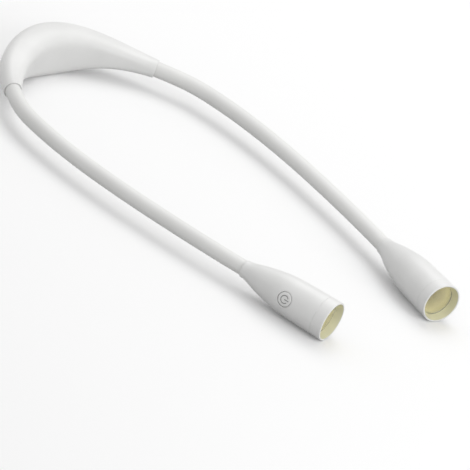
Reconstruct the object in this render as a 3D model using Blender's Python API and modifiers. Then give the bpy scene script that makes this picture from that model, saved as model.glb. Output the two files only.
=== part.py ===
"""Neck reading light lying flat: a crescent battery housing, two bending arms and two lamp heads.

Metres, +Z up. X runs across, with the left side at -X, and the heads point towards -Y.
Each arm is a row of tube links on ball joints round a steel core.
"""

import math

import bmesh
import bpy
from mathutils import Matrix, Vector

# Clearances
SEAT_GAP = 0.0003  # between pieces that touch
CUT_OVER = 0.003  # how far a cutter runs past what it cuts
WELD = 0.000001

# Housing: an arc in plan, tall and deep in the middle, round at both ends
HOUSING_HALF_SPAN = 0.0617
HOUSING_SAG = 0.034
HOUSING_IN = 0.0114  # reach from the arc towards the neck
HOUSING_OUT = 0.0093
HOUSING_UP = 0.0144
HOUSING_PRESSED = 0.0008  # how much of the underside is pressed flat
HOUSING_WALL = 0.0016
COLLAR_D = 0.0106
COLLAR_WALL = 0.0011
SWELL_IN, SWELL_OUT, SWELL_UP, SWELL_DOWN = 0.75, 1.7, 1.7, 2.9  # powers of the cosine along the arc
SQUARE_TOP_OUT, SQUARE_TOP_IN, SQUARE_LOW_IN, SQUARE_LOW_OUT = 3.5, 5.5, 5.6, 2.0
TOP_FALL_SHARE = 0.25  # of its height, that the top loses towards the neck
SECTION_POINTS = 24
HOUSING_STATIONS = 21

# Back cover, as shares of the housing's own reach
COVER_TURN_SHARE = 0.7
COVER_UP_SHARE = 0.62
COVER_DOWN_SHARE = 0.66
COVER_DEPTH_SHARE = 0.25
COVER_BEYOND_SHARE = 1.6
COVER_LAST_SHARE = 0.999  # the outline ends in a short straight edge
COVER_CORNER = 5  # power of the outline's rounding
COVER_STATIONS = 17

# Arms
TUBE_D = 0.009
BORE_D = 0.0044
CORE_D = 0.0038
BALL_D = 0.0086
ARM_WIDEST = 0.0782
ARM_REACH = 0.1872
ARM_X_SHARES = (0.933, 0.991, 1.0, 0.978, 0.935, 0.880, 0.816, 0.779)
ARM_Y_SHARES = (0.110, 0.246, 0.386, 0.525, 0.663, 0.800, 0.933, 1.0)
HEAD_TOE_IN = math.radians(12.5)
ANCHOR_STANDOFF = 0.010  # from the collar's face to the first ball
ANCHOR_DEPTH = 0.010
ANCHOR_BORE_D = 0.0024
LINK_START = 0.002  # from a ball's centre to the next link's face
LINK_SHORT = 0.001  # from a link's own end to its ball's centre
CORE_START = 0.005
CORE_END = 0.0036
LINKS = 4
LINK_STEPS = 6
TUBE_RINGS = 4
CORE_RINGS = 2

# Head: a turned bell, measured along its axis from the last ball
HEAD_LENGTH = 0.0603
HEAD_R = 0.012
HEAD_NECK_R = 0.0051
BELL_SHARES = ((0.0, 0.425), (0.07, 0.47), (0.23, 0.70), (0.46, 0.92), (0.72, 0.98), (0.89, 0.992))
BELL_WALL = 0.0016
BELL_STEPS = 24
BELL_RUN_STEPS = 2
CAVITY_START_SHARE = 0.16
SEAT_RING_SHARES = (0.72, 0.9)  # of the ball seat's radius, along the head
WIRE_HOLE_D = 0.003
HEAD_STEM = 0.008  # of tube thickness, between the last ball and the bell
BEZEL_LENGTH = 0.007
RIM_WIDTH = 0.0007
RIM_ROUND = 0.0003
SPIGOT_WALL = 0.00125
LENS_T = 0.0015
LENS_R = 0.0096
LENS_SEAT_T = 0.0003
LENS_EDGE = 0.0003
LED_BOARD_T = 0.001
LED_BOARD_FROM_FACE = 0.0104  # from the bezel's back face to the board's front
LEDGE_WIDTH = 0.0015
LEDGE_T = 0.0014
LED_SIDE = 0.005
LED_T = 0.0012
REFLECTOR_SMALL_R = 0.004
REFLECTOR_WALL = 0.0008

# Power button and its switch, on the outer side of each head
BUTTON_FROM_MOUTH = 0.0269  # from the bell's wide end to the button's centre
BUTTON_TILT = math.radians(10)
BUTTON_D = 0.0087
BUTTON_PROUD = 0.0005
BUTTON_ROUND = 0.0004
BUTTON_TRAVEL = 0.0005
BUTTON_FLANGE_D = 0.0104
BUTTON_FLANGE_T = 0.0008
BUTTON_FLANGE_AT = 0.0069
BUTTON_STEM_D = 0.0024
BUTTON_STEM_T = 0.0004
BUTTON_STEPS = 20
SWITCH_SIDE = 0.0045
SWITCH_T = 0.0013
PLUNGER_D = 0.002
CONTROL_BOARD_L = 0.0125
CONTROL_BOARD_W = 0.0162
CONTROL_BOARD_T = 0.001

# Leads
LEAD_D = 0.0012
PAD_LEAD_TURN_SHARES = (0.36, 0.62)  # of the housing's half turn

# Inside the housing: reaches from the arc, outwards and up
BOARD_L, BOARD_T, BOARD_LOW, BOARD_HIGH = 0.030, 0.0012, 0.0092, 0.0077
BOARD_FROM_WALL = 0.0027
FOAM_L, FOAM_T, FOAM_H = 0.026, 0.0008, 0.010
CELL_L, CELL_T, CELL_H = 0.038, 0.0062, 0.0138
CELL_ROUND = 0.0012
CHIP_SIDE, CHIP_T = 0.005, 0.001
SOCKET_W, SOCKET_T, SOCKET_H = 0.0077, 0.0027, 0.0053
SOCKET_SLOT_W, SOCKET_SLOT_T, SOCKET_SLOT_DEPTH = 0.007, 0.002, 0.0042
SOCKET_TONGUE_W, SOCKET_TONGUE_T = 0.0036, 0.0006
INDICATOR_FROM_END = 0.005  # from the main board's end
INDICATOR_L, INDICATOR_T, INDICATOR_H = 0.0016, 0.0012, 0.0008
LIGHT_PIPE_D, LIGHT_PIPE_L = 0.0019, 0.0031
STANDOFF_D = 0.003
STANDOFF_ALONG, STANDOFF_UP = 0.011, 0.0055

# Screws through the back cover
SCREW_TURN_SHARE = 0.48
SCREW_HEAD_D, SCREW_HEAD_T = 0.0036, 0.0014
SCREW_SHANK_D, SCREW_SHANK_L = 0.0019, 0.0085
SCREW_DRIVE_W, SCREW_DRIVE_DEPTH = 0.0006, 0.0007
SCREW_DRIVE_SHARE = 0.36  # half the cross's reach over the head's diameter
SCREW_SEAT_OUT = 0.0055
SCREW_POCKET_WALL = 0.0012
BOSS_WALL = 0.0014
ROUND_STEPS = 16

# Worked out from the sizes above
HOUSING_R = (HOUSING_HALF_SPAN**2 + HOUSING_SAG**2) / (2 * HOUSING_SAG)
HOUSING_TURN = math.atan2(HOUSING_HALF_SPAN, HOUSING_R - HOUSING_SAG)
HEAD_START = LINK_START + HEAD_STEM
HEAD_END = HEAD_START + HEAD_LENGTH
RIM_OUTER_R = HEAD_R - RIM_ROUND
HEAD_REACH = (HEAD_END - HEAD_STEM) * math.cos(HEAD_TOE_IN) + RIM_OUTER_R * math.sin(HEAD_TOE_IN)
FRONT_REACH = ARM_REACH + HEAD_REACH
BACK_REACH = HOUSING_SAG + HOUSING_OUT
COLLAR_Y = (FRONT_REACH - BACK_REACH) / 2
ARM_Z = HEAD_R
ARC_Y = COLLAR_Y + HOUSING_SAG - HOUSING_R
BALL_GAP_R = BALL_D / 2 + SEAT_GAP
FACE = HEAD_END - BEZEL_LENGTH  # the bezel's back face
LED_BOARD_FRONT = FACE - LED_BOARD_FROM_FACE
LED_BOARD_BACK = LED_BOARD_FRONT - LED_BOARD_T
LEDGE_TOP = LED_BOARD_BACK - SEAT_GAP
LEDGE_LOW = LEDGE_TOP - LEDGE_T
BUTTON_ALONG = HEAD_LENGTH - BUTTON_FROM_MOUTH
BUTTON_AT = HEAD_START + BUTTON_ALONG
SWITCH_TOP = BUTTON_FLANGE_AT - BUTTON_STEM_T - BUTTON_TRAVEL - SEAT_GAP
BOARD_IN = HOUSING_IN - HOUSING_WALL - BOARD_FROM_WALL  # the board's face nearest the neck
BOARD_OUT = BOARD_IN - BOARD_T
INDICATOR_ALONG = BOARD_L / 2 - INDICATOR_FROM_END

SIDES = {"left": -1, "right": 1}


def clear_scene():
    for old in list(bpy.data.objects):
        bpy.data.objects.remove(old)


def collection(name):
    made = bpy.data.collections.new(name)
    bpy.context.scene.collection.children.link(made)
    return made


def material(name, colour, roughness, metallic=0.0):
    made = bpy.data.materials.new(name)
    made.use_nodes = True
    shader = made.node_tree.nodes["Principled BSDF"]
    shader.inputs["Base Color"].default_value = (*colour, 1.0)
    shader.inputs["Roughness"].default_value = roughness
    shader.inputs["Metallic"].default_value = metallic
    return made


clear_scene()
PARTS = collection("neck_reading_light")
CUTTERS = collection("cutters")


def finished(obj, name, finish):
    """Names an object, gives it a material of its own, puts it with the parts and shades it."""
    obj.name = name
    obj.data.name = name
    obj.data.materials.clear()
    obj.data.materials.append(material(name, *finish))
    PARTS.objects.link(obj)
    if obj.type == "MESH":
        obj.data.shade_smooth()
        obj.data.set_sharp_from_angle(angle=math.radians(35))
    return obj


def cutter(obj, name):
    obj.name = name
    obj.hide_render = True
    obj.display_type = "WIRE"
    CUTTERS.objects.link(obj)
    return obj


def boolean(target, other, operation):
    made = target.modifiers.new(operation.lower(), "BOOLEAN")
    made.operation = operation
    made.object = other


def object_of(mesh):
    return bpy.data.objects.new(mesh.name, mesh)


def mesh_of(built, name):
    bmesh.ops.recalc_face_normals(built, faces=built.faces)
    mesh = bpy.data.meshes.new(name)
    built.to_mesh(mesh)
    built.free()
    return mesh


def box(name, low, high):
    """A box between two corners."""
    built = bmesh.new()
    bmesh.ops.create_cube(built, size=1)
    size = Vector(high) - Vector(low)
    middle = (Vector(high) + Vector(low)) / 2
    place = Matrix.Translation(middle) @ Matrix.Diagonal((*size, 1))
    bmesh.ops.transform(built, verts=built.verts, matrix=place)
    return object_of(mesh_of(built, name))


def cylinder(name, radius, start, end, steps=ROUND_STEPS):
    """A cylinder along its own Z from start to end."""
    built = bmesh.new()
    bmesh.ops.create_cone(
        built, cap_ends=True, segments=steps, radius1=radius, radius2=radius, depth=end - start
    )
    bmesh.ops.translate(built, verts=built.verts, vec=(0, 0, (start + end) / 2))
    return object_of(mesh_of(built, name))


def ball(name, radius, frame):
    built = bmesh.new()
    bmesh.ops.create_uvsphere(built, u_segments=TUBE_SIDES, v_segments=BALL_RINGS, radius=radius)
    bmesh.ops.transform(built, verts=built.verts, matrix=frame)
    return object_of(mesh_of(built, name))


def rounded(obj, width, segments=2):
    made = obj.modifiers.new("rounded", "BEVEL")
    made.width = width
    made.segments = segments
    made.limit_method = "ANGLE"
    return obj


def turned(name, outline, steps, closed=True):
    """Spins an outline of (radius, height), which runs down its outer side, round Z."""
    mesh = bpy.data.meshes.new(name)
    edges = [(i, i + 1) for i in range(len(outline) - 1)]
    if closed:
        edges.append((len(outline) - 1, 0))
    mesh.from_pydata([(radius, 0, height) for radius, height in outline], edges, [])
    obj = object_of(mesh)
    screw = obj.modifiers.new("screw", "SCREW")
    screw.axis = "Z"
    screw.steps = screw.render_steps = steps
    screw.use_merge_vertices = True
    screw.merge_threshold = WELD
    screw.use_smooth_shade = True
    return obj


def loft(name, rings, closed_run=False):
    """Joins rings of equal count, with end caps, or back to the first ring for a hollow tube."""
    built = bmesh.new()
    loops = [[built.verts.new(point) for point in ring] for ring in rings]
    pairs = list(zip(loops, loops[1:]))
    if closed_run:
        pairs.append((loops[-1], loops[0]))
    else:
        built.faces.new(loops[0])
        built.faces.new(loops[-1])
    for first, second in pairs:
        for i in range(len(first)):
            j = (i + 1) % len(first)
            built.faces.new((first[i], first[j], second[j], second[i]))
    return object_of(mesh_of(built, name))


def tube(name, points, diameter, rings):
    """A round curve object through the points, with filled ends."""
    curve = bpy.data.curves.new(name, "CURVE")
    curve.dimensions = "3D"
    curve.bevel_depth = diameter / 2
    curve.bevel_resolution = rings
    curve.use_fill_caps = True
    spline = curve.splines.new("POLY")
    spline.points.add(len(points) - 1)
    for place, point in zip(spline.points, points):
        place.co = (*point, 1)
    return bpy.data.objects.new(name, curve)


def solid_tube(name, points, diameter, rings):
    """The same tube as a welded mesh, for cutting and joining."""
    curve = tube(name, points, diameter, rings)
    bpy.context.scene.collection.objects.link(curve)
    graph = bpy.context.evaluated_depsgraph_get()
    mesh = bpy.data.meshes.new_from_object(curve.evaluated_get(graph))
    mesh.name = name
    made = object_of(mesh)
    made.matrix_world = curve.matrix_world
    bpy.data.objects.remove(curve)
    built = bmesh.new()
    built.from_mesh(mesh)
    bmesh.ops.remove_doubles(built, verts=built.verts, dist=WELD)
    bmesh.ops.recalc_face_normals(built, faces=built.faces)
    built.to_mesh(mesh)
    built.free()
    return made


TUBE_SIDES = 4 + 2 * TUBE_RINGS
BALL_RINGS = 8


def smooth_run(points, steps, first=None, last=None):
    """Points along a curve through the given ones, which may leave and arrive along set directions."""
    points = [Vector(point) for point in points]
    slopes = [(after - before) / 2 for before, after in zip(points, points[2:])]
    start_slope = points[1] - points[0]
    end_slope = points[-1] - points[-2]
    if first is not None:
        start_slope = first * start_slope.length
    if last is not None:
        end_slope = last * end_slope.length
    slopes = [start_slope, *slopes, end_slope]
    run = []
    for i in range(len(points) - 1):
        for step in range(steps):
            t = step / steps
            run.append(
                points[i] * (2 * t**3 - 3 * t**2 + 1)
                + slopes[i] * (t**3 - 2 * t**2 + t)
                + points[i + 1] * (3 * t**2 - 2 * t**3)
                + slopes[i + 1] * (t**3 - t**2)
            )
    run.append(points[-1])
    return run


class Route:
    """A run of points measured by distance along it, straight beyond both ends."""

    def __init__(self, points):
        self.points = points
        self.marks = [0.0]
        for before, after in zip(points, points[1:]):
            self.marks.append(self.marks[-1] + (after - before).length)
        self.length = self.marks[-1]

    def at(self, distance):
        if distance <= 0:
            return self.points[0] + self.heading(0) * distance
        if distance >= self.length:
            return self.points[-1] + self.heading(self.length) * (distance - self.length)
        for i, mark in enumerate(self.marks[1:]):
            if distance <= mark:
                share = (distance - self.marks[i]) / (mark - self.marks[i])
                return self.points[i].lerp(self.points[i + 1], share)

    def heading(self, distance):
        for i, mark in enumerate(self.marks[1:]):
            if distance <= mark or i == len(self.marks) - 2:
                return (self.points[i + 1] - self.points[i]).normalized()

    def stretch(self, start, end, steps):
        return [self.at(start + (end - start) * step / steps) for step in range(steps + 1)]


def frame_of(place, forward, sideways):
    """Axes with Z forward and X as near sideways as that allows."""
    forward = forward.normalized()
    across = (sideways - forward * sideways.dot(forward)).normalized()
    turn = Matrix((across, forward.cross(across), forward)).transposed()
    return Matrix.Translation(place) @ turn.to_4x4()


def arc_point(turn, out=0.0, up=0.0):
    """A place in the housing: along its arc, outwards from the neck and up."""
    reach = HOUSING_R + out
    return Vector((reach * math.sin(turn), ARC_Y + reach * math.cos(turn), ARM_Z + up))


def out_frame(turn, up=0.0):
    """Axes on the housing's arc with Z outwards."""
    outward = Vector((math.sin(turn), math.cos(turn), 0))
    return frame_of(arc_point(turn, 0, up), outward, Vector((0, 0, 1)))


def reach_at(turn, inset):
    """The housing's reach outwards, up, inwards and down at one station."""
    swell = max(0.0, math.cos(turn / HOUSING_TURN * math.pi / 2))
    collar = COLLAR_D / 2
    sizes = (
        (HOUSING_OUT, SWELL_OUT),
        (HOUSING_UP, SWELL_UP),
        (HOUSING_IN, SWELL_IN),
        (ARM_Z + HOUSING_PRESSED, SWELL_DOWN),
    )
    return swell, [collar + (size - collar) * swell**power - inset for size, power in sizes]


def section(turn, hollow):
    """One cross-section of the housing, its outside or its hollow, pressed flat where it rests."""
    swell = max(0.0, math.cos(turn / HOUSING_TURN * math.pi / 2))
    wall = COLLAR_WALL + (HOUSING_WALL - COLLAR_WALL) * swell
    inset = wall if hollow else 0.0
    swell, (out, top, inner, low) = reach_at(turn, inset)
    ring = []
    for step in range(SECTION_POINTS):
        angle = 2 * math.pi * step / SECTION_POINTS
        across, rise = math.cos(angle), math.sin(angle)
        if rise >= 0:
            square = SQUARE_TOP_OUT if across >= 0 else SQUARE_TOP_IN
        else:
            square = SQUARE_LOW_OUT if across >= 0 else SQUARE_LOW_IN
        power = 2 + (square - 2) * swell
        reach = (abs(across) ** power + abs(rise) ** power) ** (-1 / power)
        up = rise * reach * (top if rise >= 0 else low)
        if rise > 0 > across:
            up *= 1 - TOP_FALL_SHARE * swell * (across * reach) ** 2
        ring.append(
            arc_point(turn, across * reach * (out if across >= 0 else inner), max(up, inset - ARM_Z))
        )
    return ring


def housing_skin(name):
    turns = [HOUSING_TURN * (2 * i / (HOUSING_STATIONS - 1) - 1) for i in range(HOUSING_STATIONS)]
    outside = [section(turn, False) for turn in turns]
    hollow = [section(turn, True) for turn in reversed(turns)]
    return loft(name, outside + hollow, closed_run=True)


def cover_block(name, gap):
    """The round-cornered block that parts the back cover from the housing, drawn in by a gap."""
    rings = []
    limit = HOUSING_TURN * COVER_TURN_SHARE - gap / HOUSING_R
    for i in range(COVER_STATIONS):
        along = COVER_LAST_SHARE * math.sin(math.pi * (i / (COVER_STATIONS - 1) - 1 / 2))
        turn = limit * along
        _, (out, top, _, low) = reach_at(turn, 0.0)
        rounding = (1 - abs(along) ** COVER_CORNER) ** (1 / COVER_CORNER)
        near, far = out * COVER_DEPTH_SHARE, out * COVER_BEYOND_SHARE
        high = rounding * (top * COVER_UP_SHARE - gap)
        deep = rounding * (gap - low * COVER_DOWN_SHARE)
        corners = ((near, deep), (far, deep), (far, high), (near, high))
        rings.append([arc_point(turn, reach, up) for reach, up in corners])
    return loft(name, rings)


WHITE = ((0.86, 0.86, 0.85), 0.42)
SILICONE = ((0.85, 0.85, 0.84), 0.55)
STEEL = ((0.62, 0.62, 0.64), 0.3, 1.0)
BOARD_GREEN = ((0.03, 0.16, 0.08), 0.5)
COPPER_RED = ((0.35, 0.05, 0.03), 0.45)
BLACK = ((0.03, 0.03, 0.03), 0.5)
SILVER_FOIL = ((0.6, 0.6, 0.62), 0.35, 0.8)
FOAM_GREY = ((0.12, 0.12, 0.13), 0.9)
LENS_CLEAR = ((0.95, 0.93, 0.8), 0.2)
LED_YELLOW = ((0.95, 0.8, 0.25), 0.4)
CHROME = ((0.85, 0.85, 0.85), 0.15, 1.0)


def add_round(target, name, radius, frame, start, end, operation):
    """Joins or cuts a cylinder along the frame's Z."""
    helper = cutter(cylinder(name, radius, start, end), name)
    helper.matrix_world = frame
    boolean(target, helper, operation)


def make_housing():
    housing = finished(housing_skin("neck_housing"), "neck_housing", WHITE)
    window = cutter(cover_block("cover_window", 0.0), "cover_window")
    boolean(housing, window, "DIFFERENCE")
    for side, sign in SIDES.items():
        frame = out_frame(sign * HOUSING_TURN * SCREW_TURN_SHARE)
        front_wall = -reach_at(HOUSING_TURN * SCREW_TURN_SHARE, HOUSING_WALL)[1][2]
        top = SCREW_SEAT_OUT - SCREW_POCKET_WALL - SEAT_GAP
        boss_r = SCREW_SHANK_D / 2 + SEAT_GAP + BOSS_WALL
        add_round(housing, f"{side}_boss", boss_r, frame, front_wall - HOUSING_WALL / 2, top, "UNION")
        hole = SCREW_SHANK_D / 2 + SEAT_GAP
        floor = SCREW_SEAT_OUT - SCREW_SHANK_L - SEAT_GAP
        add_round(housing, f"{side}_boss_hole", hole, frame, floor, top + CUT_OVER, "DIFFERENCE")
    for place in (-STANDOFF_ALONG, STANDOFF_ALONG):
        for up in (-STANDOFF_UP, STANDOFF_UP):
            frame = board_frame(place, up)
            add_round(
                housing, "standoff", STANDOFF_D / 2, frame, -HOUSING_WALL, BOARD_FROM_WALL - SEAT_GAP, "UNION"
            )
    port = box(
        "port_cut",
        socket_corner(-1, SEAT_GAP, -CUT_OVER),
        socket_corner(1, SEAT_GAP, SOCKET_H),
    )
    boolean(housing, cutter(port, "port_cut"), "DIFFERENCE")
    pipe_hole = LIGHT_PIPE_D / 2 + SEAT_GAP
    add_round(housing, "pipe_hole", pipe_hole, pipe_frame(), -CUT_OVER, HOUSING_WALL + CUT_OVER, "DIFFERENCE")
    return housing


def make_cover():
    cover = finished(housing_skin("back_cover"), "back_cover", WHITE)
    boolean(cover, cutter(cover_block("cover_outline", SEAT_GAP), "cover_outline"), "INTERSECT")
    for side, sign in SIDES.items():
        frame = out_frame(sign * HOUSING_TURN * SCREW_TURN_SHARE)
        pocket = SCREW_HEAD_D / 2 + SEAT_GAP
        wall_out = reach_at(HOUSING_TURN * SCREW_TURN_SHARE, HOUSING_WALL / 2)[1][0]
        seat = SCREW_SEAT_OUT - SCREW_POCKET_WALL
        add_round(cover, f"{side}_pocket", pocket + SCREW_POCKET_WALL, frame, seat, wall_out, "UNION")
        far = SCREW_SEAT_OUT + SCREW_HEAD_T + HOUSING_OUT
        add_round(cover, f"{side}_pocket_hole", pocket, frame, SCREW_SEAT_OUT, far, "DIFFERENCE")
        shank = SCREW_SHANK_D / 2 + SEAT_GAP
        add_round(cover, f"{side}_shank_hole", shank, frame, seat - CUT_OVER, far, "DIFFERENCE")
    return cover


def make_screws():
    for side, sign in SIDES.items():
        seat = SCREW_SEAT_OUT + SEAT_GAP
        head, shank = SCREW_HEAD_D / 2, SCREW_SHANK_D / 2
        outline = [
            (0, seat + SCREW_HEAD_T),
            (head, seat + SCREW_HEAD_T),
            (head, seat),
            (shank, seat),
            (shank, SCREW_SEAT_OUT - SCREW_SHANK_L),
            (0, SCREW_SEAT_OUT - SCREW_SHANK_L),
        ]
        frame = out_frame(sign * HOUSING_TURN * SCREW_TURN_SHARE)
        name = f"{side}_cover_screw"
        screw = finished(turned(name, outline, ROUND_STEPS, closed=False), name, STEEL)
        screw.matrix_world = frame
        top = seat + SCREW_HEAD_T
        long, short = SCREW_HEAD_D * SCREW_DRIVE_SHARE, SCREW_DRIVE_W / 2
        for a, b in ((long, short), (short, long)):
            slot = box("drive", (-a, -b, top - SCREW_DRIVE_DEPTH), (a, b, top + CUT_OVER))
            cutter(slot, f"{side}_drive").matrix_world = frame
            boolean(screw, slot, "DIFFERENCE")


def board_frame(along, up):
    """Axes on the front wall's inside, behind the board, with Z outwards."""
    place = Vector((along, COLLAR_Y + HOUSING_SAG - HOUSING_IN + HOUSING_WALL, ARM_Z + up))
    return frame_of(place, Vector((0, 1, 0)), Vector((1, 0, 0)))


def stack_box(name, half_length, near, thickness, low, high):
    """A flat piece of the stack behind the front wall, near its face on the neck side."""
    middle_y = COLLAR_Y + HOUSING_SAG
    return box(
        name,
        (-half_length, middle_y + near, ARM_Z + low),
        (half_length, middle_y + near + thickness, ARM_Z + high),
    )


def socket_corner(sign, margin, up):
    """A corner of the charging socket, grown by a margin, at a height over the underside."""
    near = COLLAR_Y + HOUSING_SAG - BOARD_OUT + SEAT_GAP
    across = SOCKET_W / 2 + margin
    if sign < 0:
        return (-across, near - margin, up)
    return (across, near + SOCKET_T + margin, up)


def pipe_frame():
    """Axes on the underside where the light pipe comes out, with Z up."""
    place = Vector((INDICATOR_ALONG, COLLAR_Y + HOUSING_SAG - BOARD_OUT + SEAT_GAP + INDICATOR_T, 0))
    return Matrix.Translation(place)


def make_electronics():
    board = stack_box("main_board", BOARD_L / 2, -BOARD_IN, BOARD_T, -BOARD_LOW, BOARD_HIGH)
    finished(board, "main_board", BOARD_GREEN)
    chip_near = -BOARD_IN - SEAT_GAP - CHIP_T
    chip = stack_box("charge_chip", CHIP_SIDE / 2, chip_near, CHIP_T, -CHIP_SIDE / 2, CHIP_SIDE / 2)
    finished(chip, "charge_chip", BLACK)
    foam_near = SEAT_GAP - BOARD_OUT
    cell_near = foam_near + FOAM_T + SEAT_GAP
    cell_low = SOCKET_H + SEAT_GAP + SEAT_GAP - ARM_Z
    cell_middle = cell_low + CELL_H / 2
    foam = stack_box(
        "battery_foam", FOAM_L / 2, foam_near, FOAM_T, cell_middle - FOAM_H / 2, cell_middle + FOAM_H / 2
    )
    finished(foam, "battery_foam", FOAM_GREY)
    cell = stack_box("battery_cell", CELL_L / 2, cell_near, CELL_T, cell_low, cell_low + CELL_H)
    rounded(finished(cell, "battery_cell", SILVER_FOIL), CELL_ROUND)

    socket = box("micro_usb_socket", socket_corner(-1, 0, SEAT_GAP), socket_corner(1, 0, SOCKET_H))
    socket = finished(socket, "micro_usb_socket", SILVER_FOIL)
    middle = COLLAR_Y + HOUSING_SAG - BOARD_OUT + SEAT_GAP + SOCKET_T / 2
    wide, thick = SOCKET_SLOT_W / 2, SOCKET_SLOT_T / 2
    slot = box("socket_slot", (-wide, middle - thick, -CUT_OVER), (wide, middle + thick, SOCKET_SLOT_DEPTH))
    boolean(socket, cutter(slot, "socket_slot"), "DIFFERENCE")
    wide, thick = SOCKET_TONGUE_W / 2, SOCKET_TONGUE_T / 2
    root = (SOCKET_SLOT_DEPTH + SOCKET_H) / 2
    tongue = box("socket_tongue", (-wide, middle - thick, SEAT_GAP * 2), (wide, middle + thick, root))
    boolean(socket, cutter(tongue, "socket_tongue"), "UNION")

    frame = pipe_frame()
    pipe = cylinder("light_pipe", LIGHT_PIPE_D / 2, SEAT_GAP, LIGHT_PIPE_L)
    finished(pipe, "light_pipe", LENS_CLEAR)
    pipe.matrix_world = frame
    led_low = LIGHT_PIPE_L + SEAT_GAP
    led = box(
        "charge_led",
        (-INDICATOR_L / 2, -INDICATOR_T, led_low),
        (INDICATOR_L / 2, 0, led_low + INDICATOR_H),
    )
    finished(led, "charge_led", LED_YELLOW).matrix_world = frame


def arm_route(sign):
    """The arm's centreline from the housing's collar to the tube's end at the head."""
    start = arc_point(sign * HOUSING_TURN)
    points = [start]
    for across, along in zip(ARM_X_SHARES, ARM_Y_SHARES):
        points.append(Vector((sign * across * ARM_WIDEST, COLLAR_Y - along * ARM_REACH, ARM_Z)))
    leaving = Vector((sign * math.cos(HOUSING_TURN), -math.sin(HOUSING_TURN), 0))
    arriving = Vector((-sign * math.sin(HEAD_TOE_IN), -math.cos(HEAD_TOE_IN), 0))
    return Route(smooth_run(points, 4, leaving, arriving))


def joint_empty(name, frame, owner, owner_frame):
    """An empty on a joint's axis, carried by the one before it."""
    empty = bpy.data.objects.new(name, None)
    PARTS.objects.link(empty)
    empty.empty_display_size = TUBE_D
    if owner is None:
        empty.matrix_world = frame
    else:
        empty.parent = owner
        empty.matrix_local = owner_frame.inverted() @ frame
    return empty


def carry(obj, empty, frame):
    """Parents an object built in world axes to an empty and leaves it where it is."""
    obj.parent = empty
    obj.matrix_parent_inverse = frame.inverted()


def make_anchor(side, sign, route):
    """The plug in the housing's collar, with the arm's first ball."""
    turn = ANCHOR_DEPTH / HOUSING_R
    inside = [
        arc_point(sign * (HOUSING_TURN - turn * (1 - i / LINK_STEPS))) for i in range(LINK_STEPS)
    ]
    centre = route.at(ANCHOR_STANDOFF)
    neck_d = COLLAR_D - 2 * COLLAR_WALL - 2 * SEAT_GAP
    name = f"{side}_arm_anchor"
    run = inside + route.stretch(0, ANCHOR_STANDOFF / 2, 2)
    anchor = finished(solid_tube(name, run, neck_d, TUBE_RINGS), name, WHITE)
    frame = frame_of(centre, route.heading(ANCHOR_STANDOFF), Vector((0, 0, 1)))
    run = route.stretch(SEAT_GAP, ANCHOR_STANDOFF - LINK_SHORT, LINK_STEPS)
    sleeve = cutter(solid_tube("anchor_sleeve", run, TUBE_D, TUBE_RINGS), f"{side}_anchor_sleeve")
    boolean(anchor, sleeve, "UNION")
    boolean(anchor, cutter(ball("anchor_ball", BALL_D / 2, frame), f"{side}_anchor_ball"), "UNION")
    start = arc_point(sign * (HOUSING_TURN - turn - CUT_OVER / HOUSING_R))
    run = [start, *inside, *route.stretch(0, ANCHOR_STANDOFF + BALL_D, LINK_STEPS)]
    bore = solid_tube("anchor_bore", run, ANCHOR_BORE_D, CORE_RINGS)
    boolean(anchor, cutter(bore, f"{side}_anchor_bore"), "DIFFERENCE")


def make_link(side, number, route, start, end, empty, frame):
    """One tube link: a socket round the ball before it, a bore, a ball of its own and the core inside."""
    name = f"{side}_arm_sleeve_{number}"
    points = route.stretch(start + LINK_START, end - LINK_SHORT, LINK_STEPS)
    sleeve = finished(solid_tube(name, points, TUBE_D, TUBE_RINGS), name, SILICONE)
    end_frame = frame_of(route.at(end), route.heading(end), Vector((0, 0, 1)))
    helpers = (
        (ball("link_ball", BALL_D / 2, end_frame), "ball", "UNION"),
        (ball("link_socket", BALL_GAP_R, frame), "socket", "DIFFERENCE"),
        (
            solid_tube("link_bore", route.stretch(start, end + BALL_D, LINK_STEPS + 1), BORE_D, CORE_RINGS),
            "bore",
            "DIFFERENCE",
        ),
    )
    for helper, part, operation in helpers:
        cutter(helper, f"{name}_{part}")
        carry(helper, empty, frame)
        boolean(sleeve, helper, operation)
    carry(sleeve, empty, frame)
    name = f"{side}_arm_core_{number}"
    points = route.stretch(start + CORE_START, end + CORE_END, LINK_STEPS)
    core = finished(tube(name, points, CORE_D, CORE_RINGS), name, STEEL)
    carry(core, empty, frame)


def bell_radius(along):
    """The bell's outer radius at a distance from its narrow end."""
    return BELL.at_height(along)


class Profile:
    """A radius that follows a height."""

    def __init__(self, points):
        self.points = points

    def at_height(self, height):
        for (low_r, low), (high_r, high) in zip(self.points, self.points[1:]):
            if height <= high:
                return low_r + (high_r - low_r) * (height - low) / (high - low)
        return self.points[-1][0]


def bell_points():
    shares = [(radius * HEAD_R, along * HEAD_LENGTH, 0) for along, radius in BELL_SHARES]
    shares[0] = (HEAD_NECK_R, 0, 0)
    return [(point.x, point.y) for point in smooth_run(shares, BELL_RUN_STEPS)]


BELL = Profile(bell_points())


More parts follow.
